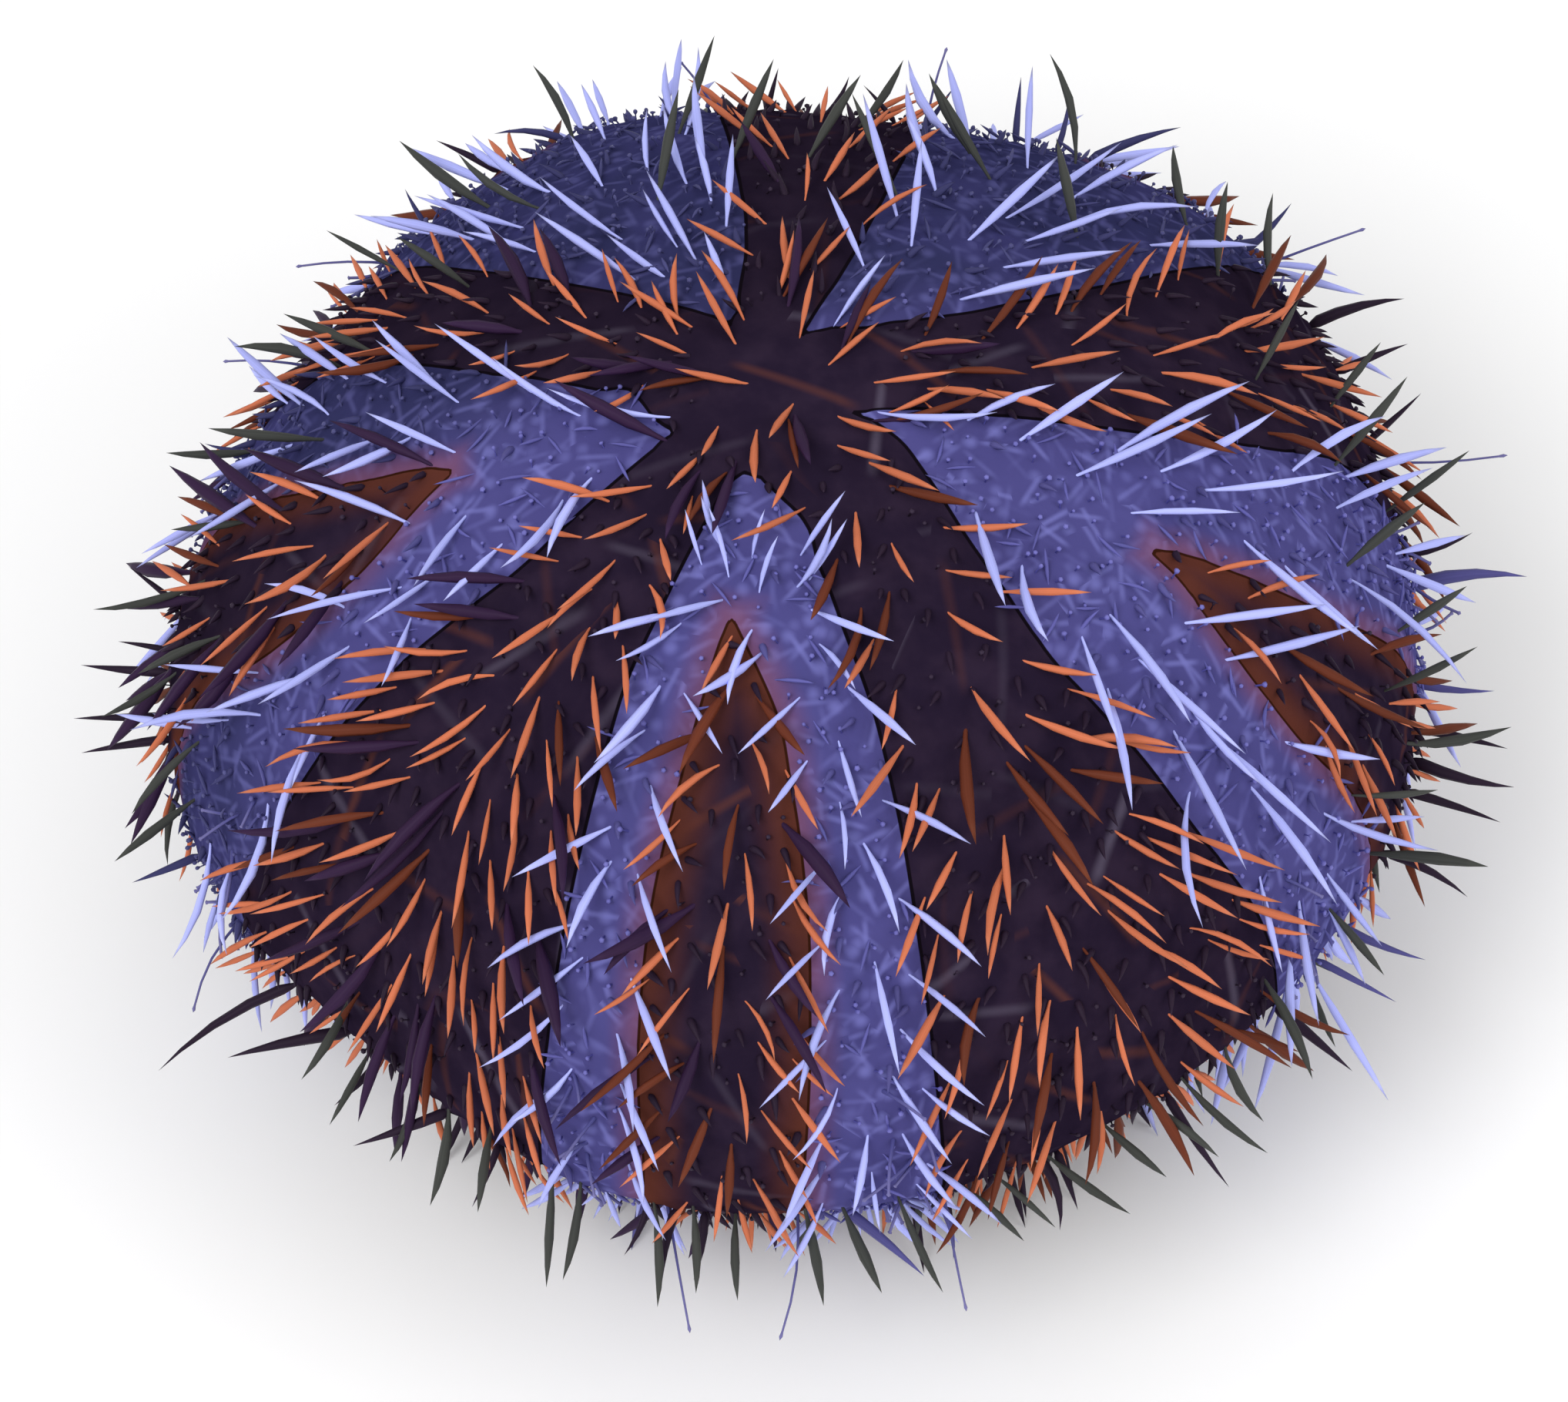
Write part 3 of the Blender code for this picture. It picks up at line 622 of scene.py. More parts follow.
def soft_material(name, dark, pale, painted_shade_colour=None):
    """Thin living skin on pincers and tube feet, paler towards the free end, and painted darker on the
    far side as shade where a shade colour is given.
    """
    material, add = new_material(name, 0.5, 0.15)
    along, tint = (add("attribute", attribute_name=key) for key in ("along", "tint"))
    colour = layered(add, dark, (add("step", along, 0.2, 0.85), pale), (add("times", tint, 0.35), dark))
    # Painted shade: darker on the far side
    if painted_shade_colour:
        colour = add("mix", painted_far_shade(add, add("place")), colour, painted_shade_colour)
    return painted(material, colour)


def tooth_material():
    """Polished calcite, ivory white, broken up by fine mottling as on a worn tooth."""
    material, add = new_material("polished_tooth_calcite", 0.25, 0.5)
    mottle = add("noise", add("place"), 900.0, 3.0)
    ivory = linear("#E9E1CE")
    darker = tuple(0.6 * c for c in ivory[:3]) + (1.0,)
    return painted(material, add("mix", add("step", mottle, 0.7, 0.3), ivory, darker))


def corners(*places):
    """The U and V of each corner of many faces, as one array of faces, corners, and U with V."""
    pairs = [np.stack(np.broadcast_arrays(u, v), -1) for u, v in places]
    return np.stack(pairs, -2).reshape(-1, len(places), 2)


def closed_grid(levels, sides):
    """Quads and end triangles on rings of points between two end points, one ring for each inner level,
    and each corner's place on a unit map: once round along U, and the level along V."""
    rings = len(levels) - 2
    side = np.arange(sides)
    after = (side + 1) % sides
    ring = 1 + sides * np.arange(rings - 1)[:, None]
    quads = np.stack([ring + side, ring + after, ring + sides + after, ring + sides + side], -1)
    last = 1 + sides * (rings - 1)
    start = np.stack([0 * side, 1 + after, 1 + side], -1)
    end = np.stack([0 * side + last + sides, last + side, last + after], -1)
    left = side / sides
    right = (side + 1) / sides
    middle = (left + right) / 2
    low = levels[1:-2, None]
    high = levels[2:-1, None]
    quad_places = corners((left, low), (right, low), (right, high), (left, high))
    start_places = corners((middle, levels[0]), (right, levels[1]), (left, levels[1]))
    end_places = corners((middle, levels[-1]), (left, levels[-2]), (right, levels[-2]))
    faces = [quads.reshape(-1, 4), np.concatenate([start, end])]
    return faces, [quad_places, np.concatenate([start_places, end_places])]


def mesh_object(name, points, faces, places, material, fields):
    """An object from its points, its quads and triangles, the place of each corner on the bake map, and
    named values at its points."""
    mesh = bpy.data.meshes.new(name)
    mesh.from_pydata(points.tolist(), [], [face for kind in faces for face in kind.tolist()])
    layer = mesh.uv_layers.new(name="OFBake")
    layer.data.foreach_set("uv", np.concatenate([kind.ravel() for kind in places]).astype(np.float32))
    for field, values in fields.items():
        data = mesh.attributes.new(field, "FLOAT", "POINT").data
        data.foreach_set("value", np.asarray(values, np.float32).ravel())
    mesh.materials.append(material)
    mesh.shade_smooth()
    mesh.update()
    obj = bpy.data.objects.new(name, mesh)
    bpy.context.scene.collection.objects.link(obj)
    return obj


def strands(name, centres, radii, first, second, sides, material, roots, rng):
    """Many closed round bodies as one mesh. Each has a line of centres and a radius at each; a ring of
    points is carried along the line, at centre + radius * (cos * first + sin * second), and both
    ends close in a point. Its bake patch lies at its root's place on the skin's unwrap."""
    count, stations = radii.shape
    turn = np.linspace(0, math.tau, sides, endpoint=False)[:, None]
    circle = np.cos(turn) * first[:, None, None] + np.sin(turn) * second[:, None, None]
    rings = centres[:, 1:-1, None] + radii[:, 1:-1, None, None] * circle
    points = np.concatenate([centres[:, :1], rings.reshape(count, -1, 3), centres[:, -1:]], axis=1)
    points[..., 2] = np.maximum(points[..., 2], 0)
    per = points.shape[1]
    levels = np.linspace(0, 1, stations)
    faces, places = closed_grid(levels, sides)
    shift = per * np.arange(count)[:, None, None]
    patch = np.clip(roots, 0, 1 - PATCH)[:, None, None]
    fields = {
        "along": np.tile([0, *np.repeat(levels[1:-1], sides), 1], count),
        "around": np.tile([0, *np.tile(np.arange(sides) / sides, stations - 2), 0], count),
        "tint": np.repeat(rng.uniform(0, 1, count), per),
    }
    return mesh_object(
        name, points.reshape(-1, 3), [(kind + shift).reshape(-1, kind.shape[-1]) for kind in faces],
        [patch + PATCH * kind for kind in places], material, fields,
    )


def side_vectors(direction, rng):
    """Two unit vectors square to each direction and to each other, turned at random."""
    helper = np.where(np.abs(direction[:, 2:3]) < 0.9, np.array([[0, 0, 1.0]]), np.array([[1.0, 0, 0]]))
    first = np.cross(helper, direction)
    first /= np.linalg.norm(first, axis=1, keepdims=True)
    second = np.cross(direction, first)
    turn = rng.uniform(0, math.tau, len(direction))[:, None]
    return first * np.cos(turn) + second * np.sin(turn), second * np.cos(turn) - first * np.sin(turn)


def stalks(name, material, growth, radius, shape, sides, rng, bend=None):
    """Strands that grow from the skin, with centres at root + way * length * place, bowed to one side by
    the length times bend(place). The growth is their places, roots, ways and lengths, and the shape is
    the places along each with the parts of its radius there."""
    places, point, direction, length = growth
    stations, shares = (np.asarray(row) for row in shape)
    length = np.broadcast_to(length, len(point))[:, None]
    radius = np.broadcast_to(radius, len(point))[:, None]
    first, second = side_vectors(direction, rng)
    centres = point[:, None] + direction[:, None] * (stations * length)[..., None]
    if bend:
        centres = centres + first[:, None] * (bend(stations) * length)[..., None]
    roots = unwrap(*places.T[:2])
    obj = strands(name, centres, shares * radius, first, second, sides, material, roots, rng)
    return obj


def planted(edges, top, bottom, spacing, rng, jitter=0.32, margin=EDGE_MARGIN):
    """Places in a field between two edges, in staggered rows: polar angle, azimuth, and how far the place
    lies to a side, from -1 to 1. The margin is the part of the width kept free along each edge."""
    places = []
    arc = arc_at(top) + rng.uniform(0.2, 0.8) * spacing * MM
    row = 0
    while arc < arc_at(bottom):
        polar = float(polar_at_arc(arc))
        first, last = edges(polar)
        room = math.radians(float(last - first)) * profile(polar)[0] / MM
        count = int(room / spacing + rng.uniform(0.15, 0.85))
        for column in range(count):
            part = (column + 0.5 + (STAGGER if row % 2 else -STAGGER) + rng.uniform(-jitter, jitter)) / count
            part = min(max(part, margin), 1 - margin)
            here = float(polar_at_arc(arc + rng.uniform(-jitter, jitter) * spacing * MM))
            places.append((here, first + (last - first) * part, 2 * part - 1))
        arc += spacing * MM
        row += 1
    return np.array(places, float).reshape(-1, 3)


def all_round(polar):
    """The edges of a field that goes round the whole skin."""
    return 0.0, 360.0


def between(left, left_edge, right, right_edge, lap=0):
    """A field's edges as a function of the polar angle: each is a band's first (0) or last (1) edge, and
    the second lies a lap in degrees further round."""
    return lambda polar: (edges_at(left, polar)[left_edge], edges_at(right, polar)[right_edge] + lap)


def all_fields():
    """Every field of the skin: its edges, where it starts and ends, what grows there, how far its
    spines fan out, and how much more they lean."""
    fields = []
    for name, band in BLUE_BANDS.items():
        wedge = WEDGES[name]
        tip, wedge_tip = band[0][0], wedge[0][0]
        fan = FANS.get(name, FAN)
        growth = BLUE_FIELDS[name]
        whole = between(band, 0, band, 1)
        if name == "front":
            fields.append((whole, *CROWN, CROWN_SPACING, CROWN_FACTOR, growth[2], fan, CROWN_LEAN))
            tip = CROWN[1]
        fields.append((whole, tip, wedge_tip, *growth, fan, 0))
        fields.append((between(band, 0, wedge, 0), wedge_tip, SKIN_END, *growth, fan, 0))
        fields.append((between(wedge, 1, band, 1), wedge_tip, SKIN_END, *growth, fan, 0))
        fields.append((between(wedge, 0, wedge, 1), wedge_tip, SKIN_END, *WEDGE_FIELDS[name], FAN, 0))
    bands = list(BLUE_BANDS.values())
    laps = (0, 0, 0, 0, 360)
    for before, after, lap, growth in zip(bands, bands[1:] + bands[:1], laps, DARK_FIELDS.values()):
        fields.append((between(before, 1, after, 0, lap), DARK_TOP, SKIN_END, *growth, FAN, 0))
    return fields


def leaning(places, lean, turn):
    """Roots at planted places, and ways that lean from the normal by an angle in radians, towards a turn
    round it from straight down: normal * cos(lean) + (down * cos(turn) + around * sin(turn)) * sin(lean)."""
    point, normal, down, around = skin_frame(*places.T[:2])
    way = down * np.cos(turn)[:, None] + around * np.sin(turn)[:, None]
    return point, normal * np.cos(lean)[:, None] + way * np.sin(lean)[:, None]


def sprouted(places, lean, turn, length, rng):
    """Small growth at planted places: its roots, its ways and its lengths. The lean in degrees, the turn
    in radians and the length in mm are drawn at random between two limits each."""
    count = len(places)
    lean = np.radians(rng.uniform(*lean, count))
    return places, *leaning(places, lean, rng.uniform(*turn, count)), rng.uniform(*length, count) * MM


def grown(places, factor, rng, fan=FAN, fan_spread=13, lean_shift=0):
    """Spines at planted places, with their roots, directions and lengths. Each leans down from the
    normal and fans out towards the nearer edge of its field."""
    polar, side = places[:, 0], places[:, 2]
    count = len(places)
    varied = rng.uniform(-LEAN_SPREAD, LEAN_SPREAD, count)
    lean = np.radians(interpolated(LEANS, polar) + lean_shift + varied)
    fanned = fan * np.clip(FAN_SHARPNESS * side, -1, 1)
    turn = np.radians(fanned + rng.uniform(-fan_spread, fan_spread, count))
    point, direction = leaning(places, lean, turn * np.where(lean > 0, 1, -1))
    length = interpolated(LENGTHS, polar) * factor * rng.uniform(*LENGTH_SPREAD, count)
    return places, point, direction, length


def held_in_reach(point, direction, length, may_stand=True):
    """Lengths cut so that no tip passes an oval round the body or the floor. Where they may stand, the
    spines of one ring below run down to the floor; also tells which ones they are."""
    radius = np.hypot(point[:, 0], point[:, 1])
    place = point[:, :2] / REACHES
    way = direction[:, :2] / REACHES
    flat = np.maximum((way**2).sum(1), 1e-3)
    outward = (place * way).sum(1)
    room = np.maximum(outward**2 + flat * (1 - (place**2).sum(1)), 0)
    length = np.minimum(length, (np.sqrt(room) - outward) / flat)
    downward = np.maximum(-direction[:, 2], 1e-6)
    to_floor = np.where(direction[:, 2] < 0, (point[:, 2] - FLOOR_GAP) / downward, 1.0)
    inner, outer = SUPPORT_RADII
    stands = (radius > inner) & (radius < outer) & (downward > 0.5) & may_stand
    length = np.where(stands, to_floor + 3 * FLOOR_GAP, np.minimum(length, to_floor))
    return length, stands


def spine_shape(belly, blunt):
    """Places along a spine with the part of its width there: a sunk root, a ringed collar, a belly and a
    long point; a blunt one keeps a flat end."""
    s = np.array([-0.06, 0.0, 0.05, 0.11, 0.32, 0.58, 0.82, 1.0])
    rising = np.sin(np.clip(s / belly, 0, 1) * math.pi / 2) ** 0.9
    falling = np.cos(np.clip((s - belly) / (1 - belly), 0, 1) * math.pi / 2) ** 0.95
    share = np.where(s < belly, rising, falling)
    share[:4] = np.maximum(share[:4], (0, 0.24, 0.34, 0.30))
    share[[0, -1]] = 0
    share = np.tile(share, (len(blunt), 1))
    share[blunt, -2] = 0.6
    return s, share


def viewer_way():
    """The way from the animal to the drawing's viewer, and the way up in the drawing."""
    tilt = math.radians(VIEW_ELEVATION)
    return np.array([0, -math.cos(tilt), math.sin(tilt)]), np.array([0, math.sin(tilt), math.cos(tilt)])


def facing(polar, azimuth):
    """How squarely the skin faces the drawing's viewer: 1 full on, 0 on its outline, negative behind."""
    return skin_frame(polar, azimuth)[1] @ viewer_way()[0]


def near_outline(clock, wanted):
    """Polar angle and azimuth of skin points at a place on the drawing's clock where the skin faces
    the viewer by the wanted amount."""
    azimuths = np.arange(0.0, 360.0, 1.0)
    polars = np.arange(20.0, 170.0, 0.5)
    turned_away = facing(*np.meshgrid(polars, azimuths, indexing="ij")) < wanted
    polar = polars[np.argmax(turned_away, axis=0)]
    place = skin_frame(polar, azimuths)[0] - np.array([0, 0, AMBITUS_Z])
    clocks = np.degrees(np.arctan2(place[:, 0], place @ viewer_way()[1])) % 360
    order = np.argsort(clocks)
    flat = np.radians(azimuths[order])
    sine = np.interp(clock, clocks[order], np.sin(flat), period=360)
    cosine = np.interp(clock, clocks[order], np.cos(flat), period=360)
    found = np.degrees(np.arctan2(sine, cosine)) % 360
    return np.interp(clock, clocks[order], polar[order], period=360), found


def drawn_spines(rows, wanted=0.02):
    """Spines given by the drawing's clock, with their roots, directions and lengths. A way on the clock is
    sin * right + cos * up in the drawing's plane."""
    clock, length, way = np.array(rows, float).T
    polar, azimuth = near_outline(clock, wanted)
    angle = np.radians(way)[:, None]
    direction = np.sin(angle) * np.array([1.0, 0, 0]) + np.cos(angle) * viewer_way()[1]
    places = np.column_stack([polar, azimuth, np.zeros(len(polar))])
    return places, skin_frame(polar, azimuth)[0], direction, length * MM


def tipped(spines, depth, rng):
    """The same spines, tipped at random towards the drawing's viewer or away, and as long in the
    drawing as before."""
    places, point, direction, length = spines
    shift = rng.uniform(-depth, depth, (len(length), 1)) * viewer_way()[0]
    stretch = np.linalg.norm(direction + shift, axis=1)
    return places, point, (direction + shift) / stretch[:, None], length * stretch


def grey_ring(rng):
    """The grey-green spines as rows of clock, length in mm and way."""
    clock = np.arange(GREY_COUNT) * 360 / GREY_COUNT + rng.uniform(-1.6, 1.6, GREY_COUNT)
    clock = clock[(clock < GREY_BARE[0]) | (clock > GREY_BARE[1])]
    slant = interpolated(GREY_SLANTS, clock % 360) + rng.uniform(-7, 7, len(clock))
    length = GREY_LENGTH_MM * rng.uniform(0.8, 1.2, len(clock))
    return np.column_stack([clock, length, clock + slant])


def gather_spines():
    """All plantings of spines by kind, each as places with their roots, directions and lengths."""
    rng = np.random.default_rng(SEED)
    kinds = {kind: [] for kind in SPINE_SHAPES}
    for edges, top, bottom, spacing, factor, shares, fan, shift in all_fields():
        margin = BLUE_MARGIN if "lilac" in shares else EDGE_MARGIN
        seen = planted(edges, top, bottom, spacing, rng, margin=margin)
        square = facing(*seen.T[:2])
        seen = seen[(square > HIDDEN_FACING) & (rng.uniform(0, 1, len(seen)) < interpolated(COVER, square))]
        hidden = planted(edges, top, bottom, HIDDEN_SPACING, rng)
        hidden = hidden[facing(*hidden.T[:2]) <= HIDDEN_FACING]
        for places, grey in ((seen, 0), (hidden, HIDDEN_GREY)):
            names = [*shares, "grey"]
            chances = [*(share * (1 - grey) for share in shares.values()), grey]
            pick = rng.choice(len(names), len(places), p=chances)
            for index, kind in enumerate(names):
                kinds[kind].append(grown(places[pick == index], factor, rng, fan=fan, lean_shift=shift))
    for kind, count in APEX_COUNTS.items():
        turns = np.arange(count) * GOLDEN_ANGLE + rng.uniform(-14, 14, count)
        polars = APEX_POLAR * np.sqrt((np.arange(count) + 0.7) / count)
        apex = np.column_stack([polars, turns % 360, np.zeros(count)])
        kinds[kind].append(grown(apex, APEX_FACTOR, rng, fan_spread=42))

    ring = grey_ring(rng)
    for index, wanted in enumerate(GREY_FACINGS):
        spines = drawn_spines(ring[index :: len(GREY_FACINGS)], wanted)
        kinds["grey"].append(tipped(spines, GREY_DEPTH, rng))
    kinds["lilac"].append(drawn_spines([LONG_LILAC], 0.15))
    long_spines = drawn_spines(LONG_SPINES)
    on_blue = blue_depth_mm(long_spines[0]) > 0
    for kind, mask in (("dark", ~on_blue), ("indigo", on_blue)):
        kinds[kind].append(tuple(values[mask] for values in long_spines))

    low = planted(all_round, LOW_TOP, SKIN_END, LOW_SPACING, rng, margin=0)
    on_blue = blue_depth_mm(low) > 0
    lies = rng.uniform(0, 1, len(low)) < LYING_SHARE
    for kind, mask in (("dark", ~on_blue), ("indigo", on_blue & ~lies)):
        kinds[kind].append(grown(low[mask], LOW_FACTOR, rng, fan_spread=40, lean_shift=-8))
    kinds["pale"].append(grown(low[on_blue & lies], LYING_FACTOR, rng, fan_spread=180, lean_shift=14))
    return kinds


def make_spines(kinds):
    """One mesh for each kind of spine, a longer spine thicker by its length to the power 0.7; returns them
    with every root's place and its width in mm."""
    made = []
    roots = []
    for order, (kind, parts) in enumerate(kinds.items()):
        places, point, direction, length = (np.concatenate(values) for values in zip(*parts))
        rng = np.random.default_rng(SEED + 100 + order)
        width_mm, belly, share = SPINE_SHAPES[kind]
        length, stands = held_in_reach(point, direction, length * share)
        keep = length > SHORTEST_SPINE
        growth = places, point, direction, length = [
            values[keep] for values in (places, point, direction, length)
        ]
        size = np.clip(length / USUAL_LENGTH, 0.5, 1.2) ** 0.7
        width = width_mm * MM * size * rng.uniform(*WIDTH_SPREAD, len(length))
        bow = np.clip(rng.normal(0, BOW, len(length)), -MOST_BOW, MOST_BOW)
        stands = stands[keep]
        bow = np.where(stands, 0, bow)[:, None]
        body, root, tip, label, slot, *painted_shade_colour = SPINE_COLOURS[kind]
        material = spine_material(label, body, root, tip, *painted_shade_colour)
        made.append(stalks(
            f"spines_{kind}", material, growth, width / 2, spine_shape(belly, stands), 6, rng,
            lambda s: bow * (4 * s * (1 - s)),
        ))
        roots.append(np.column_stack([places[:, :2], width / MM]))
    return made, np.concatenate(roots)


def make_skin(roots):
    """The whole skin as a grid of rows down from the apex and columns round, closed at both poles,
    with a low tubercle under each spine, a groove where colours meet and folds round the mouth."""
    row_polar = polar_at_arc(np.linspace(0, ARC_LENGTH[-1], SKIN_ROWS + 2))[1:-1]
    azimuth = np.linspace(-180, 180, SKIN_COLUMNS, endpoint=False)
    polar_grid, azimuth_grid = np.meshgrid(row_polar, azimuth, indexing="ij")
    point, normal = skin_frame(polar_grid, azimuth_grid)[:2]
    rise = np.zeros(polar_grid.shape)
    row_step = ARC_LENGTH[-1] / (SKIN_ROWS + 1)
    for polar, turn, width in roots:
        row = int(arc_at(polar) / row_step) - 1
        radius = max(float(profile(polar)[0]), 2 * MM)
        reach = TUBERCLE_RADIUS * (0.6 + 0.5 * width)
        column = (turn + 180) / 360 * SKIN_COLUMNS
        spread = int(math.ceil(2 * reach / (radius * math.tau / SKIN_COLUMNS)))
        rows = np.arange(max(row - 3, 0), min(row + 5, SKIN_ROWS))
        columns = np.arange(int(column) - spread, int(column) + spread + 2) % SKIN_COLUMNS
        near = np.ix_(rows, columns)
        spot = skin_frame(np.array(polar), np.array(turn))[0]
        gap = np.linalg.norm(point[near] - spot, axis=-1) / reach
        bump = TUBERCLE_RISE * min(width, 1.1) * np.exp(-2.2 * gap**2)
        rise[near] = np.maximum(rise[near], bump)
    blue, wedge = depths_mm(polar_grid, azimuth_grid)
    radius = np.hypot(point[..., 0], point[..., 1])
    mouth = np.where(polar_grid > 90, (PERISTOME_RADIUS - radius) / MM, -20)
    for depth, (drop, half_width) in ((blue, BLUE_GROOVE), (wedge, WEDGE_GROOVE)):
        rise -= drop * np.exp(-((depth / half_width) ** 2))
    rise += FOLD_RISE * interpolated(FOLD_FADE, mouth) * np.sin(np.radians(azimuth_grid) * MOUTH_FOLDS)
    point = point + normal * rise[..., None]

    tops = np.array([skin_frame(np.array(p), np.array(0.0))[0] for p in (0.0, 180.0)])
    points = np.concatenate([tops[:1], point.reshape(-1, 3), tops[1:]])
    grid = closed_grid(np.linspace(1, 0, SKIN_ROWS + 2), SKIN_COLUMNS)
    faces, places = ([np.roll(kind[:, ::-1], 1, axis=1) for kind in part] for part in grid)
    fields = {
        "blue_mm": [-8, *blue.ravel(), -8],
        "wedge_mm": [-20, *wedge.ravel(), -20],
        "mouth_mm": [-20, *mouth.ravel(), 12],
    }
    skin = mesh_object("urchin_skin", points, faces, places, urchin_skin_material(), fields)
    normals = np.concatenate([[[0, 0, 1.0]], normal.reshape(-1, 3), [[0, 0, -1.0]]])
    stored = skin.data.attributes.new("skin_normal", "FLOAT_VECTOR", "POINT").data
    stored.foreach_set("vector", normals.astype(np.float32).ravel())
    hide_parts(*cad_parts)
    return skin


def make_pincers():
    """Pedicellariae: stalked pincers no longer than 2 mm, thick on the blue bands and thin on the dark."""
    made = []
    rng = np.random.default_rng(SEED + 2)
    end = polar_at_radius_below(PERISTOME_RADIUS + 1.5 * MM)
    places = planted(all_round, LOW_TOP, end, PINCER_SPACING, rng, jitter=0.45, margin=0)
    chance = rng.uniform(0, 1, len(places))
    depth = blue_depth_mm(places)
    masks = {"blue": depth > PINCER_GAP, "violet": depth < -PINCER_GAP}
    for name, (share, stalk, head, painted_shade_colour, slot) in PINCERS.items():
        chosen = places[masks[name] & (chance < share)]
        growth = sprouted(chosen, (0, 45), (0, math.tau), (0.5, 1.1), rng)
        radius = rng.uniform(0.17, 0.30, len(chosen)) * MM
        material = soft_material(f"{name}_pincer_skin", stalk, head, painted_shade_colour)
        made.append(stalks(f"pincers_{name}", material, growth, radius, PINCER_SHAPE, 5, rng))
    return made


def make_tube_feet():
    """Tube feet along both sides of the blue bands: slack ones that lie on the flank and underside, and
    a few stretched past the outline as thin as a bristle, each with a small sucker."""
    rng = np.random.default_rng(SEED + 3)
    rows = []
    for band in BLUE_BANDS.values():
        for polar in np.arange(*TUBE_FOOT_ROWS):
            first, last = edges_at(band, polar)
            for azimuth in (first + TUBE_FOOT_INSET, last - TUBE_FOOT_INSET):
                rows.append((polar + rng.uniform(-2, 2), azimuth + rng.uniform(-1.5, 1.5), 0))
    slack = sprouted(np.array(rows, float), (40, 75), (-1.2, 1.2), (2.5, 6), rng)
    both = zip(slack, drawn_spines(STRETCHED_FEET))
    places, point, direction, length = (np.concatenate(values) for values in both)
    growth = (places, point, direction, held_in_reach(point, direction, length, False)[0])
    return [stalks(
        "tube_feet", soft_material("tube_foot_skin", "#4B4A86", "#7A76A8"), growth,
        np.repeat(TUBE_FOOT_RADII, (len(rows), len(STRETCHED_FEET))), TUBE_FOOT_SHAPE, 5, rng,
        lambda s: rng.uniform(-0.08, 0.08, (len(length), 1)) * np.sin(math.pi * np.clip(s, 0, 1)),
    )]


def make_teeth(azimuths, rng):
    """Five ivory teeth, each a blunt wedge that leans in from the membrane to the mouth's middle."""
    out, around = level_ways(azimuths)
    base = profile(180.0)[1]
    start = out * 2.5 * MM + np.array([0, 0, base + 1.8 * MM])
    end = out * 0.5 * MM + np.array([0, 0, base - 2.7 * MM])
    stations, shares = np.array(TOOTH_SHAPE)
    centres = start[:, None] + (end - start)[:, None] * np.clip(stations, 0, 1)[:, None]
    centres[:, 0, 2] += 0.5 * MM
    radii = np.tile(shares * TOOTH_RADIUS, (len(azimuths), 1))
    patches = np.column_stack([azimuths / 360, np.full(len(azimuths), 0.01)])
    teeth = strands("teeth", centres, radii, out * 0.6, around, 8, tooth_material(), patches, rng)
    return teeth


def on_membrane(name, material, polar, azimuth, parts, length, radius, shape, sides, rng):
    """Stalks on the mouth's membrane, whose ways are parts of its normal, of down and of the way round."""
    point, *ways = skin_frame(polar, azimuth)
    direction = sum(part * way for part, way in zip(parts, ways))
    direction /= np.linalg.norm(direction, axis=1, keepdims=True)
    growth = (np.column_stack([polar, azimuth]), point, direction, length)
    return stalks(name, material, growth, radius, shape, sides, rng)


def make_mouth():
    """Five teeth, ten feeding feet, ten tufts of gills round the membrane's edge, and the lip's papillae."""
    rng = np.random.default_rng(SEED + 4)
    fives = np.arange(5) * 72.0 + 36
    teeth = make_teeth(fives, rng)
    feet = on_membrane(
        "feeding_feet", soft_material("feeding_foot_skin", "#7A525A", "#B08688"),
        np.full(10, polar_at_radius_below(FEEDING_FOOT_RING)), np.concatenate([fives - 31, fives - 53]),
        (1, 0, 0), FEEDING_FOOT_LENGTH, FEEDING_FOOT_RADIUS, FEEDING_FOOT_SHAPE, 8, rng,
    )
    azimuth = np.repeat([fives + 12, fives - 12], GILLS // 10) + rng.uniform(-3.5, 3.5, GILLS)
    polar = polar_at_radius_below(PERISTOME_RADIUS + 0.6 * MM) + rng.uniform(-1.5, 1.5, GILLS)
    gills = on_membrane(
        "gills", soft_material("gill_skin", "#6A3F52", "#A5758A"), polar, azimuth,
        (1, -0.5, rng.uniform(-0.7, 0.7, (GILLS, 1))), rng.uniform(1.2, 2.6, GILLS) * MM,
        GILL_RADIUS, GILL_SHAPE, 5, rng,
    )
    azimuth = np.linspace(0, 360, LIP_PAPILLAE, endpoint=False)
    lip = on_membrane(
        "lip_papillae", soft_material("lip_skin", "#6B4048", "#A87C7C"),
        np.full(LIP_PAPILLAE, polar_at_radius_below(LIP_RING)), azimuth,
        (0.8, 0.6, 0), LIP_LENGTH, LIP_RADIUS, LIP_SHAPE, 6, rng,
    )
    return [teeth, feet, gills, lip]


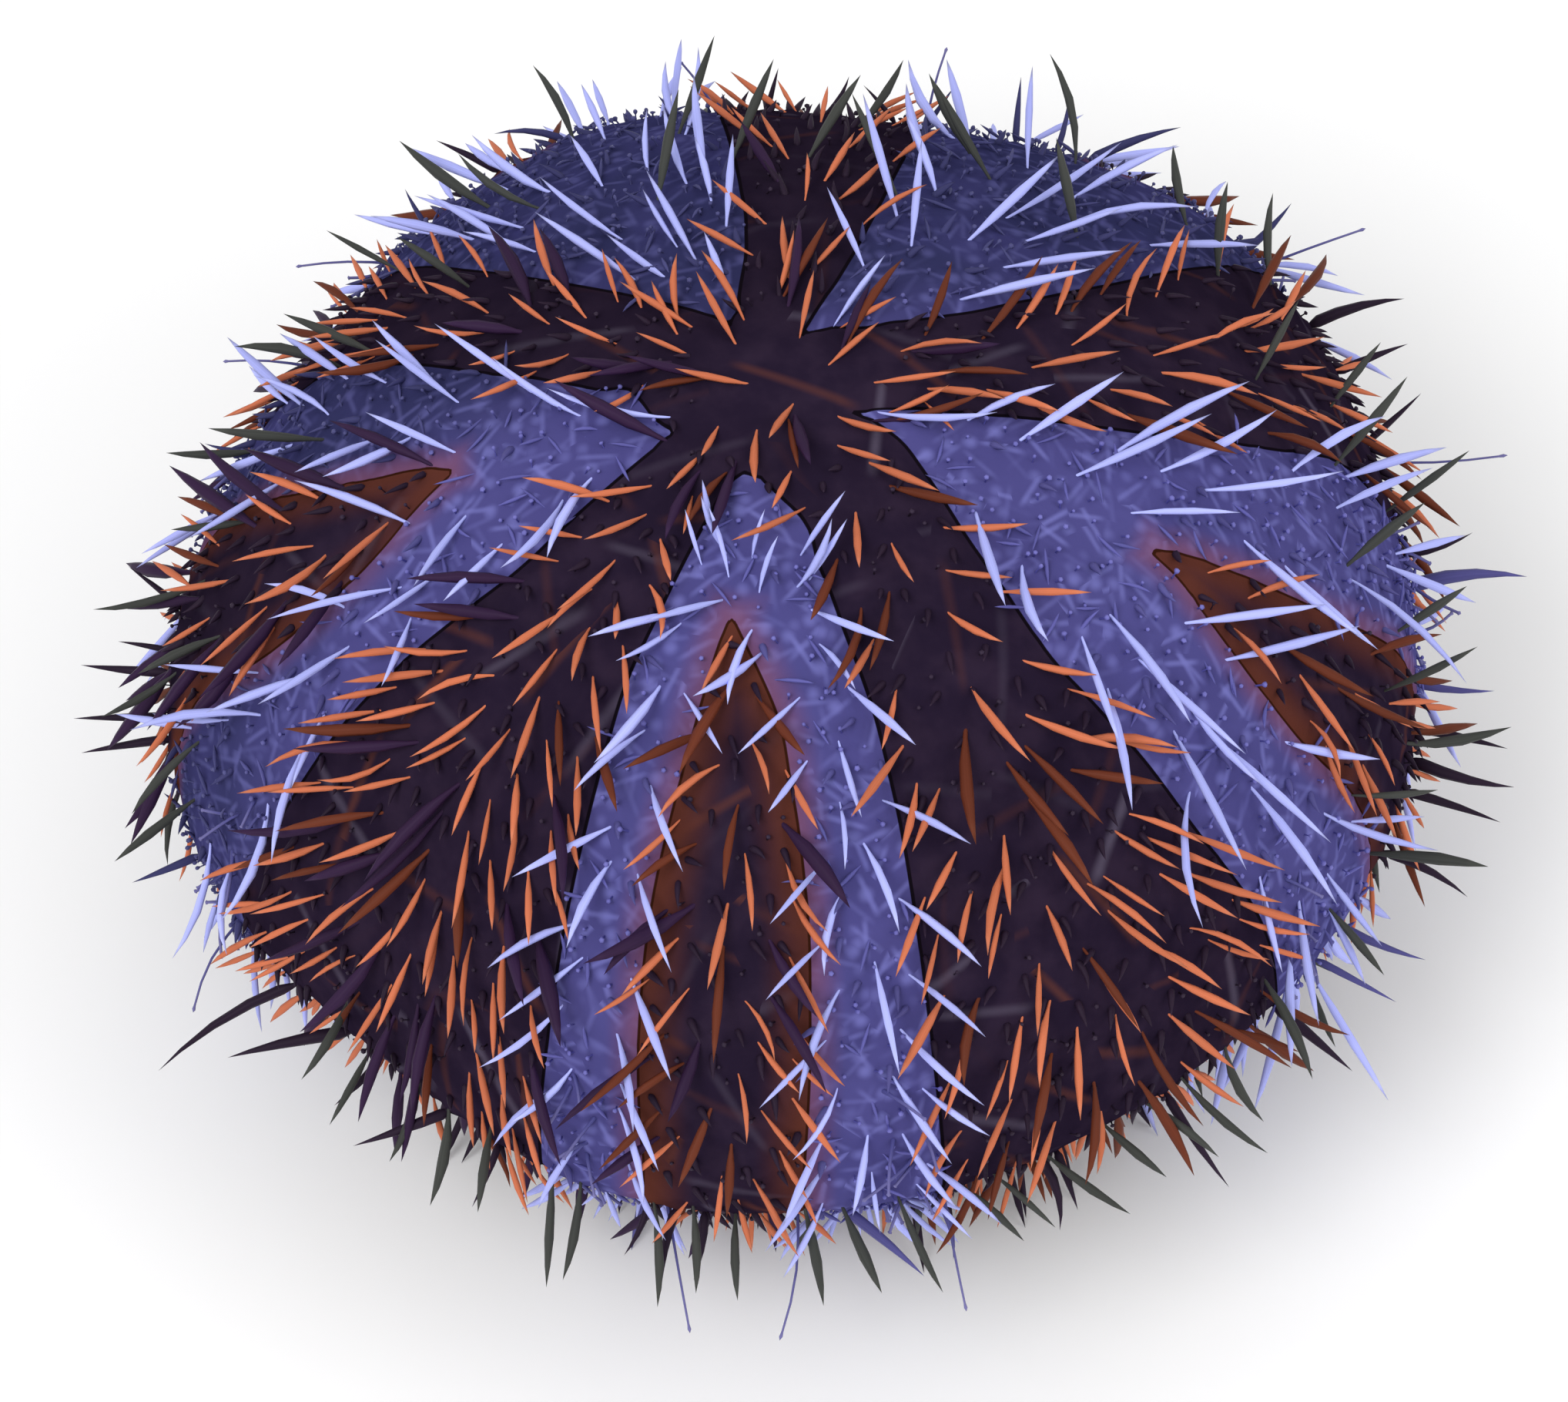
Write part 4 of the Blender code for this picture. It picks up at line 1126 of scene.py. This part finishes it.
def make_floor():
    """A plain pale floor, no part of the animal."""
    size = 3.0
    mesh = bpy.data.meshes.new("floor")
    corner_points = [(-size, -size, 0), (size, -size, 0), (size, size, 0), (-size, size, 0)]
    mesh.from_pydata(corner_points, [], [(0, 1, 2, 3)])
    floor = bpy.data.objects.new("floor", mesh)
    bpy.context.scene.collection.objects.link(floor)
    material = new_material("matt_white_floor", 0.9, 0.1)[0]
    shader = material.node_tree.nodes["Principled BSDF"]
    shader.inputs["Base Color"].default_value = linear("#FFFFFF")
    mesh.materials.append(material)


def aimed(name, data, place, way):
    """A lamp or camera at a place, turned to look along a way."""
    obj = bpy.data.objects.new(name, data)
    obj.location = place
    obj.rotation_euler = Vector(way).to_track_quat("-Z", "Y").to_euler()
    bpy.context.scene.collection.objects.link(obj)
    return obj


def make_light_and_camera():
    """Plain soft studio light, and the drawing's own view."""
    scene = bpy.context.scene
    world = bpy.data.worlds.new("soft_white_room")
    world.use_nodes = True
    background = world.node_tree.nodes["Background"]
    background.inputs["Color"].default_value = (1, 1, 1, 1)
    background.inputs["Strength"].default_value = 0.76
    scene.world = world
    scene.view_settings.view_transform = "Standard"
    centre = np.array([0, 0, AMBITUS_Z])
    lights = (("key_light", (-0.35, -0.45, 0.75), 3.7), ("fill_light", (0.55, -0.25, 0.45), 1.0))
    for name, place, power in lights:
        lamp = bpy.data.lights.new(name, "AREA")
        lamp.shape = "DISK"
        lamp.size = 0.5
        lamp.energy = power
        aimed(name, lamp, place, centre - np.array(place))

    toward, up = viewer_way()
    target = centre + np.array([1, 0, 0]) * AIM_RIGHT + up * AIM_UP
    data = bpy.data.cameras.new("drawing_view")
    data.sensor_width = 36
    data.lens = FOCAL_PIXELS / IMAGE_WIDTH * data.sensor_width
    data.clip_start = 0.01
    scene.camera = aimed("drawing_view", data, target + toward * VIEW_DISTANCE, -toward)


def main():
    """Makes every piece and says that it rides on the one body, then sets the stage."""
    spines, roots = make_spines(gather_spines())
    for piece in [make_skin(roots)] + spines + make_pincers() + make_tube_feet() + make_mouth():
        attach(piece, "root")
    make_floor()
    make_light_and_camera()


main()
